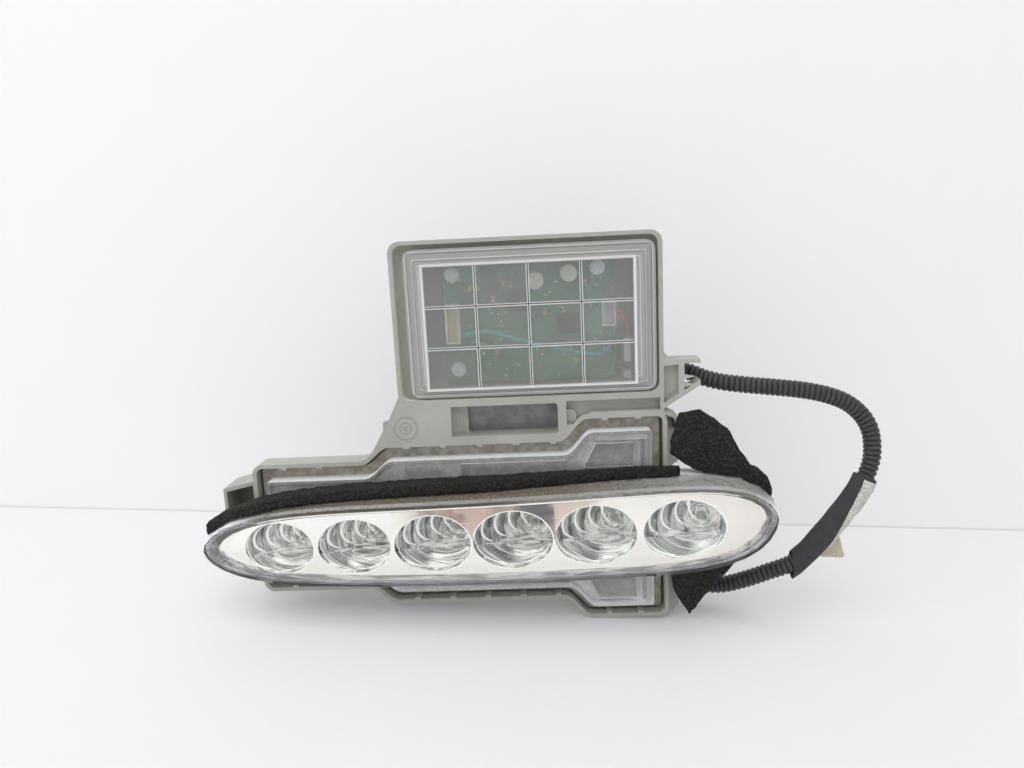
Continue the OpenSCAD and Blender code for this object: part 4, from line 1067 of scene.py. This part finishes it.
# %% Frosted box cover
def frosted_cover():
    f = Finish("frosted box cover")
    x, z = f.drawn("X"), f.drawn("Z")
    inside = window(f, x, z, 0.0, 0.3)
    grown = window(f, x, z, 0.7, 0.15)
    inset = window(f, x, z, -0.55, 0.12)
    # Painted highlights on the groove edges and the window's frame, and painted shade in the
    # grooves.
    painted_groove_shade = lattice(f, x, z, GROOVE_HALF) * inset
    painted_frame_highlight = grown * (1.0 - inset)
    painted_highlights = (lattice(f, x, z, LINE_PAIR_HALF) * inset - painted_groove_shade).most(painted_frame_highlight)
    from_side = (x - COVER_X[0]).least(COVER_X[1] - x)
    from_end = (z - COVER_Z[0]).least(COVER_Z[1] - z)
    inwards = from_side.least(from_end) * RIDGE_SCALE
    # Painted highlights on the ridges round the window, and painted shade beside them.
    painted_ridge_highlights = ring_lines(f, inwards, RIDGES)
    painted_shade_beside_ridges = ring_lines(f, inwards, BESIDE_RIDGES)
    haze = 0.08 + 0.2 * f.cloud(18, 3)
    milky = 0.78 - 0.1 * f.cloud(5, 3)
    veil = haze * inside + milky * (1.0 - inside)
    veil = veil.most(painted_highlights * 0.9).most(painted_groove_shade * 0.6).most(painted_ridge_highlights * 0.95 * (1.0 - grown))
    colour = f.mix(painted_shade_beside_ridges, paint(188, 189, 185), paint(138, 138, 134))
    colour = f.mix(painted_highlights.most(painted_ridge_highlights), colour, paint(250, 252, 251))
    colour = f.mix(inside * (1.0 - painted_highlights), colour, paint(196, 200, 196))
    colour = f.mix(painted_groove_shade, colour, paint(120, 124, 122))
    frost = f.bump(f.cloud(0.3, 2), 0.01)
    return f.done(clear_body(f, 0.15, veil, colour, paint(250, 252, 251), frost))


dress(frosted_cover(), "box_cover")
print("cover dressed")

# %% [markdown]
# The driver board is green solder mask over copper. Traces, pads and small printed marks are
# drawn by a brick pattern and cells, because the frosted cover blurs them anyway. The marks are
# plain rectangles and stand for no words.

# %% Green board
TRACES = {
    "Scale": 0.16,
    "Mortar Size": 0.035,
    "Mortar Smooth": 0.2,
    "Brick Width": 1.3,
    "Row Height": 0.42,
}
DARK_END_Z = (104, 108)


def solder_mask():
    f = Finish("green solder mask")
    x, z = f.drawn("X"), f.drawn("Z")
    flat = f.node("ShaderNodeCombineXYZ", {}, {0: x, 1: z, 2: 0.0})
    bricks = {"offset": 0.37, "squash": 0.7}
    traces = f.node("ShaderNodeTexBrick", bricks, {"Vector": flat, **TRACES}, output=1)
    pads = f.fall(f.cells(3.1), 0.16, 0.2) * f.step(f.cloud(9, 1), 0.5, 0.56)
    marks = f.fall(f.cells(5.3, (2.2, 1, 1)), 0.1, 0.13)
    dark_ground = f.step(f.cloud(22, 1), 0.5, 0.58) * f.step(z, *DARK_END_Z)
    green = f.mix(f.cloud(14, 2), paint(44, 96, 68), paint(58, 118, 88))
    green = f.mix(traces * 0.55, green, paint(76, 142, 104))
    green = f.mix(dark_ground * 0.75, green, paint(70, 70, 74))
    green = f.mix(marks * 0.8, green, paint(216, 220, 210))
    return f.done(
        f.plastic(
            Base_Color=f.mix(pads, green, paint(206, 204, 190)),
            Roughness=0.32 + 0.1 * traces,
            Metallic=pads * 0.7,
            Normal=f.bump(traces + pads, 0.03),
        )
    )


dress(solder_mask(), "driver_board")
print("driver board dressed")

# %% [markdown]
# The small parts on the board and the fixings share one recipe: a base colour that wanders
# between two tones, a roughness that wanders too, and a fine bump. What differs is the colour,
# the size of the pattern, how shiny it is and whether it is metal. So the recipe is one function,
# and a table gives each kind of part its values, in the order of the function's arguments.

# %% Small parts
def varied(name, first, second, size, rough, spread=0.12, metal=0.0, depth=0.01, grain=0.5):
    """A finish that wanders between two colours, with its own grain."""
    f = Finish(name)
    tone = f.step(f.cloud(size, 4, 0.6), 0.35, 0.65)
    worn = f.step(f.cloud(size * 0.35, 3, 0.65), 0.55, 0.75)
    base = f.mix(tone, paint(*first), paint(*second))
    dimmed = tuple(round(c * 0.7) for c in second)
    base = f.mix(worn * 0.35, base, paint(*dimmed))
    return f.done(
        f.plastic(
            Base_Color=base,
            Roughness=rough + spread * tone,
            Metallic=metal,
            Normal=f.bump(f.cloud(grain, 2), depth),
        )
    )


SMALL_PARTS = (
    ("led_board", "white board mask", (226, 228, 224), (210, 212, 206), 6, 0.35),
    ("led_1 led_2 led_3 led_4 led_5 led_6",
     "led dome resin", (196, 196, 188), (176, 176, 168), 2, 0.15),
    ("heat_sink",
     "cast aluminium", (168, 170, 173), (146, 148, 152), 5, 0.4, 0.15, 1.0, 0.05, 1.2),
    ("board_screws plate_screws",
     "plated screws", (236, 242, 248), (212, 222, 232), 2, 0.34, 0.15, 0.6),
    ("input_connector", "cream nylon", (232, 226, 202), (218, 208, 178), 3, 0.45),
    ("output_connector wire_clips", "white nylon", (232, 232, 228), (214, 214, 208), 3, 0.45),
    ("capacitors", "capacitor sleeve", (222, 220, 214), (204, 200, 192), 3, 0.35),
    ("power_inductor", "ferrite", (58, 57, 58), (40, 40, 41), 2, 0.6, 0.1, 0.0, 0.03),
    ("driver_chip", "black chip resin", (38, 38, 40), (28, 28, 30), 2, 0.5),
    ("chip_resistors", "resistor ceramic", (206, 184, 132), (64, 60, 58), 1.5, 0.4),
    ("teal_wire", "teal wire sleeve", (30, 190, 194), (24, 168, 174), 4, 0.35),
    ("red_wire", "red wire sleeve", (224, 40, 36), (196, 30, 28), 4, 0.35),
    ("back_plate",
     "sheet aluminium", (142, 142, 142), (126, 126, 127), 9, 0.38, 0.14, 0.6, 0.02, 0.8),
    ("box_grommet lamp_grommet vent_cap",
     "black rubber", (38, 38, 39), (28, 28, 29), 3, 0.62, 0.12, 0.0, 0.03),
    ("lens_sealant", "grey sealant", (172, 171, 163), (146, 141, 126), 4, 0.5, 0.2, 0.0, 0.08),
)
for parts, *recipe in SMALL_PARTS:
    dress(varied(*recipe), *parts.split())
print("kinds of small parts dressed:", len(SMALL_PARTS))

# %% [markdown]
# Conduit plastic is charcoal with a soft sheen and some pale dust. Hardly any light gets into its
# narrow grooves, so the finish darkens them by the attribute that the tube's points carry. The
# tape's cloth is two crossed waves in the bump, fine enough to read as a weave. The label is
# soiled white film, and its print is plain grey specks in rows.

# %% Conduit, tape, label
def conduit_plastic():
    f = Finish("charcoal conduit plastic")
    dust = f.step(f.cloud(11, 4, 0.65), 0.5, 0.75)
    groove = f.node("ShaderNodeAttribute", {"attribute_name": "groove"}, output=2)
    base = f.mix(dust * 0.55, paint(58, 59, 63), paint(86, 86, 86))
    base = f.mix(f.step(groove, 0.1, 0.8) * 0.8, base, paint(24, 24, 26))
    grain = f.bump(f.cloud(0.5, 3), 0.03)
    return f.done(f.plastic(Base_Color=base, Roughness=0.44 + 0.25 * dust, Normal=grain))


def threads(f, direction, scale, distortion):
    """The height of one set of threads, as bands with a direction."""
    return f.node(
        "ShaderNodeTexWave",
        {"wave_type": "BANDS", "bands_direction": direction},
        {"Vector": f.place, "Scale": scale, "Distortion": distortion, "Detail": 1.0},
        output=1,
    )


def tape_cloth():
    f = Finish("black cloth tape")
    weave = threads(f, "DIAGONAL", 900.0, 1.2) + threads(f, "Z", 700.0, 1.0)
    lint = f.step(f.cloud(0.9, 3, 0.7), 0.62, 0.78)
    tone = f.step(f.cloud(8, 3), 0.35, 0.7)
    base = f.mix(tone, paint(50, 50, 52), paint(64, 64, 66))
    base = f.mix(lint * 0.4, base, paint(108, 106, 102))
    rough = 0.62 + 0.15 * tone
    return f.done(f.plastic(Base_Color=base, Roughness=rough, Normal=f.bump(weave, 0.06)))


def label_film():
    """Soiled white film with a grey print of specks that spell nothing."""
    f = Finish("printed label paper")
    x, z = f.drawn("X"), f.drawn("Z")
    rows = line_mask(f, x * 0.86 - z * 0.5, 0.0, 1.5, 0.42, 0.12)
    dashes = f.fall(f.cells(0.75), 0.34, 0.46)
    soil = f.step(f.cloud(6, 4, 0.65), 0.45, 0.75)
    base = f.mix(soil * 0.6, paint(212, 212, 206), paint(180, 178, 168))
    base = f.mix(rows * dashes * 0.8, base, paint(104, 104, 104))
    waves = f.bump(f.cloud(2.4, 2), 0.05)
    return f.done(f.plastic(Base_Color=base, Roughness=0.5 + 0.2 * soil, Normal=waves))


dress(conduit_plastic(), conduit)
dress(tape_cloth(), tape)
dress(label_film(), label)
print("cord dressed")

# %% [markdown]
# Foam is dark because light dies in its pores. Cells of about a millimetre give the pores in the
# bump and the colour, and brown road dust catches on the ridges between them.

# %% Foam
def foam(name, deep, ridge, dust_colour, dust_share):
    f = Finish(name)
    pores = f.fall(f.cells(1.4), 0.2, 0.62) * f.step(f.cloud(1.1, 3, 0.7), 0.3, 0.62)
    dust = f.step(f.cloud(1.6, 5, 0.75), 0.52, 0.72) * f.step(f.cloud(12, 3), 0.32, 0.62)
    base = f.mix(pores, paint(*deep), paint(*ridge))
    base = f.mix(dust * dust_share, base, paint(*dust_colour))
    torn = f.bump(pores + 0.4 * f.cells(0.6), 0.35)
    return f.done(f.plastic(Base_Color=base, Roughness=0.86 + 0.1 * pores, Normal=torn))


dress(
    foam("black open foam", (14, 14, 13), (60, 58, 54), (112, 106, 94), 0.45),
    upper_patch,
    lower_patch,
    strip,
)
dress(foam("cream foam", (206, 200, 176), (222, 216, 192), (178, 160, 112), 0.5), tag)
print("foam dressed")

# %% [markdown]
# White paint on the table and the wall. They are ordinary dull surfaces, so they keep the lamp's
# soft shadow. The camera sees them a trace brighter than they are, and mirrors a little more, but
# the lamp gets no more light from that. A thin grey line of painted shade runs along the foot of
# the wall, where it meets the table. Seen from behind both are clear, so a view of the lamp's back
# works.

# %% Table and wall paint
SEEN_GLOW = (0.105, 0.105, 0.106, 1.0)
MIRRORED_GLOW = (0.19, 0.19, 0.188, 1.0)


def room_paint(name, colour):
    f = Finish(name)
    base = f.mix(f.cloud(90, 2), paint(*colour), paint(*(c - 3 for c in colour)))
    over_table = f.drawn("X") * math.sin(TABLE_TILT) + (f.drawn("Z") - TABLE_Z) * math.cos(
        TABLE_TILT
    )
    at_wall = f.step(f.drawn("Y"), WALL_Y - 1.5, WALL_Y - 0.5)
    # Painted shade: a thin grey line along the foot of the wall.
    painted_shade_at_wall_foot = f.fall(over_table, 0.5, 1.6) * at_wall
    ray = f.node("ShaderNodeLightPath")
    seen = ray.other("Is Camera Ray").most(ray.other("Is Transmission Ray"))
    glow = f.mix(seen, BLACK, SEEN_GLOW)
    painted = f.plastic(
        Base_Color=f.mix(painted_shade_at_wall_foot * 0.26, base, paint(150, 150, 152)),
        Roughness=0.65,
        Normal=f.bump(f.cloud(2, 2), 0.01),
        Emission_Color=f.mix(ray.other("Is Glossy Ray"), glow, MIRRORED_GLOW),
        Emission_Strength=1.0,
    )
    from_behind = f.node("ShaderNodeNewGeometry", output="Backfacing")
    clear = f.shader("BsdfTransparent", {})
    return f.done(f.shader("MixShader", {0: from_behind, 1: painted, 2: clear}))


dress(room_paint("white table paint", (230, 230, 231)), table)
dress(room_paint("white wall paint", (241, 241, 242)), wall)
print("room painted")

# %% [markdown]
# The light is a bright overcast room: an even white world, one large soft lamp above the front
# and a weaker one from the left. Both stand far off, so the table is as bright on the right as on
# the left.

# %% Light
def soft_lamp(name, place, aim, size, watts):
    """A square-cornered area lamp that looks at a point."""
    data = bpy.data.lights.new(name, "AREA")
    data.shape = "RECTANGLE"
    data.size, data.size_y = size
    data.energy = watts
    lamp = bpy.data.objects.new(name, data)
    bpy.context.scene.collection.objects.link(lamp)
    lamp.location = place
    lamp.rotation_euler = (aim - place).to_track_quat("-Z", "Y").to_euler()


middle = at(20, 10, 30)
soft_lamp("top_light", at(-350, -1100, 2000), middle, (2.6, 2.2), 26.0)
soft_lamp("side_light", at(-2200, -1300, 900), middle, (2.0, 2.0), 6.5)

# %% [markdown]
# The world gives an even light, and the camera sees it nearly white. What a mirror shows is not
# even, though: the photograph's cups are full of greys. So a ray that has met the mirror sees a
# room that darkens upwards and has blotches. The Light Path node tells these rays apart.

# %% The room as a world
ROOM_LIGHT, ROOM_SEEN = 0.62, 0.97
world = bpy.data.worlds.new("pale room")
bpy.context.scene.world = world
room = Graph(world, "ShaderNodeOutputWorld", "Generated")
path = room.node("ShaderNodeLightPath")
upwards = room.node("ShaderNodeSeparateXYZ", {}, {0: room.place}).other("Z")
blotch = room.node(
    "ShaderNodeTexNoise", {}, {"Vector": room.place, "Scale": 2.6, "Detail": 3.0, "Roughness": 0.6}
)
dimmer_up = room.step(upwards, 0.1, 0.7, 1.0, 0.5)
mirrored = ROOM_SEEN * dimmer_up * room.step(blotch, 0.36, 0.6, 0.35, 1.0)
after_mirror = path.maths("GREATER_THAN", path.other("Glossy Depth"), 0.5)
seen = path.most(path.other("Is Glossy Ray")).most(path.other("Is Transmission Ray"))
plain = seen * ROOM_SEEN + (1.0 - seen) * ROOM_LIGHT
brightness = after_mirror * mirrored + (1.0 - after_mirror) * plain
room.shown(room.shader("Background", {"Color": WHITE, "Strength": brightness}))

bpy.context.scene.view_settings.view_transform = "Standard"
print("world ready")

# %% [markdown]
# The upper half of the reflector shows a pink and brown patch of the room before it. A plain card
# in front of the lamp, which only mirrors see, gives that patch. It has no picture on it, only
# soft fields of colour whose borders are moved about by noise.

# %% The card that only mirrors see
CARD_X, CARD_Z, CARD_Y = (-158.0, 156.0), (-70.0, 20.0), -450.0
DARK_FIELD, PALE_FIELD_FROM = (12, 66), (60, 84)
LEFT_END, RIGHT_END = (-150, -116), (124, 150)
BORDER_WANDER = 46


def card_paint():
    f = Finish("pink and brown card")
    x = f.drawn("X") + BORDER_WANDER * (f.cloud(15, 3, 0.6) - 0.5)
    blotches = f.step(f.cloud(24, 4, 0.6), 0.4, 0.6)
    pink = f.mix(blotches, paint(202, 177, 167), paint(150, 124, 116))
    pink = f.mix(f.step(x, *PALE_FIELD_FROM), pink, paint(212, 196, 188))
    colour = f.mix(f.between(x, *DARK_FIELD, 8), pink, paint(88, 85, 91))
    ends = f.fall(x, *LEFT_END).most(f.step(x, *RIGHT_END))
    colour = f.mix(ends, colour, paint(246, 244, 242))
    return f.done(f.shader("Emission", {"Color": colour, "Strength": 1.0}))


bpy.ops.object.select_all(action="DESELECT")
bpy.ops.mesh.primitive_plane_add(size=2.0, location=(0, 0, 0))
card = bpy.context.active_object
card.name = "card_for_mirrors"
half_x, half_z = (CARD_X[1] - CARD_X[0]) / 2, (CARD_Z[1] - CARD_Z[0]) / 2
card.data.transform(
    Matrix.Translation(at(sum(CARD_X) / 2, CARD_Y, sum(CARD_Z) / 2))
    @ rotated(90, "X")
    @ Matrix.Diagonal((half_x * MM, half_z * MM, 1, 1))
)
card.visible_camera = card.visible_diffuse = card.visible_shadow = False
dress(card_paint(), card)
print("card corners:", len(card.data.vertices))
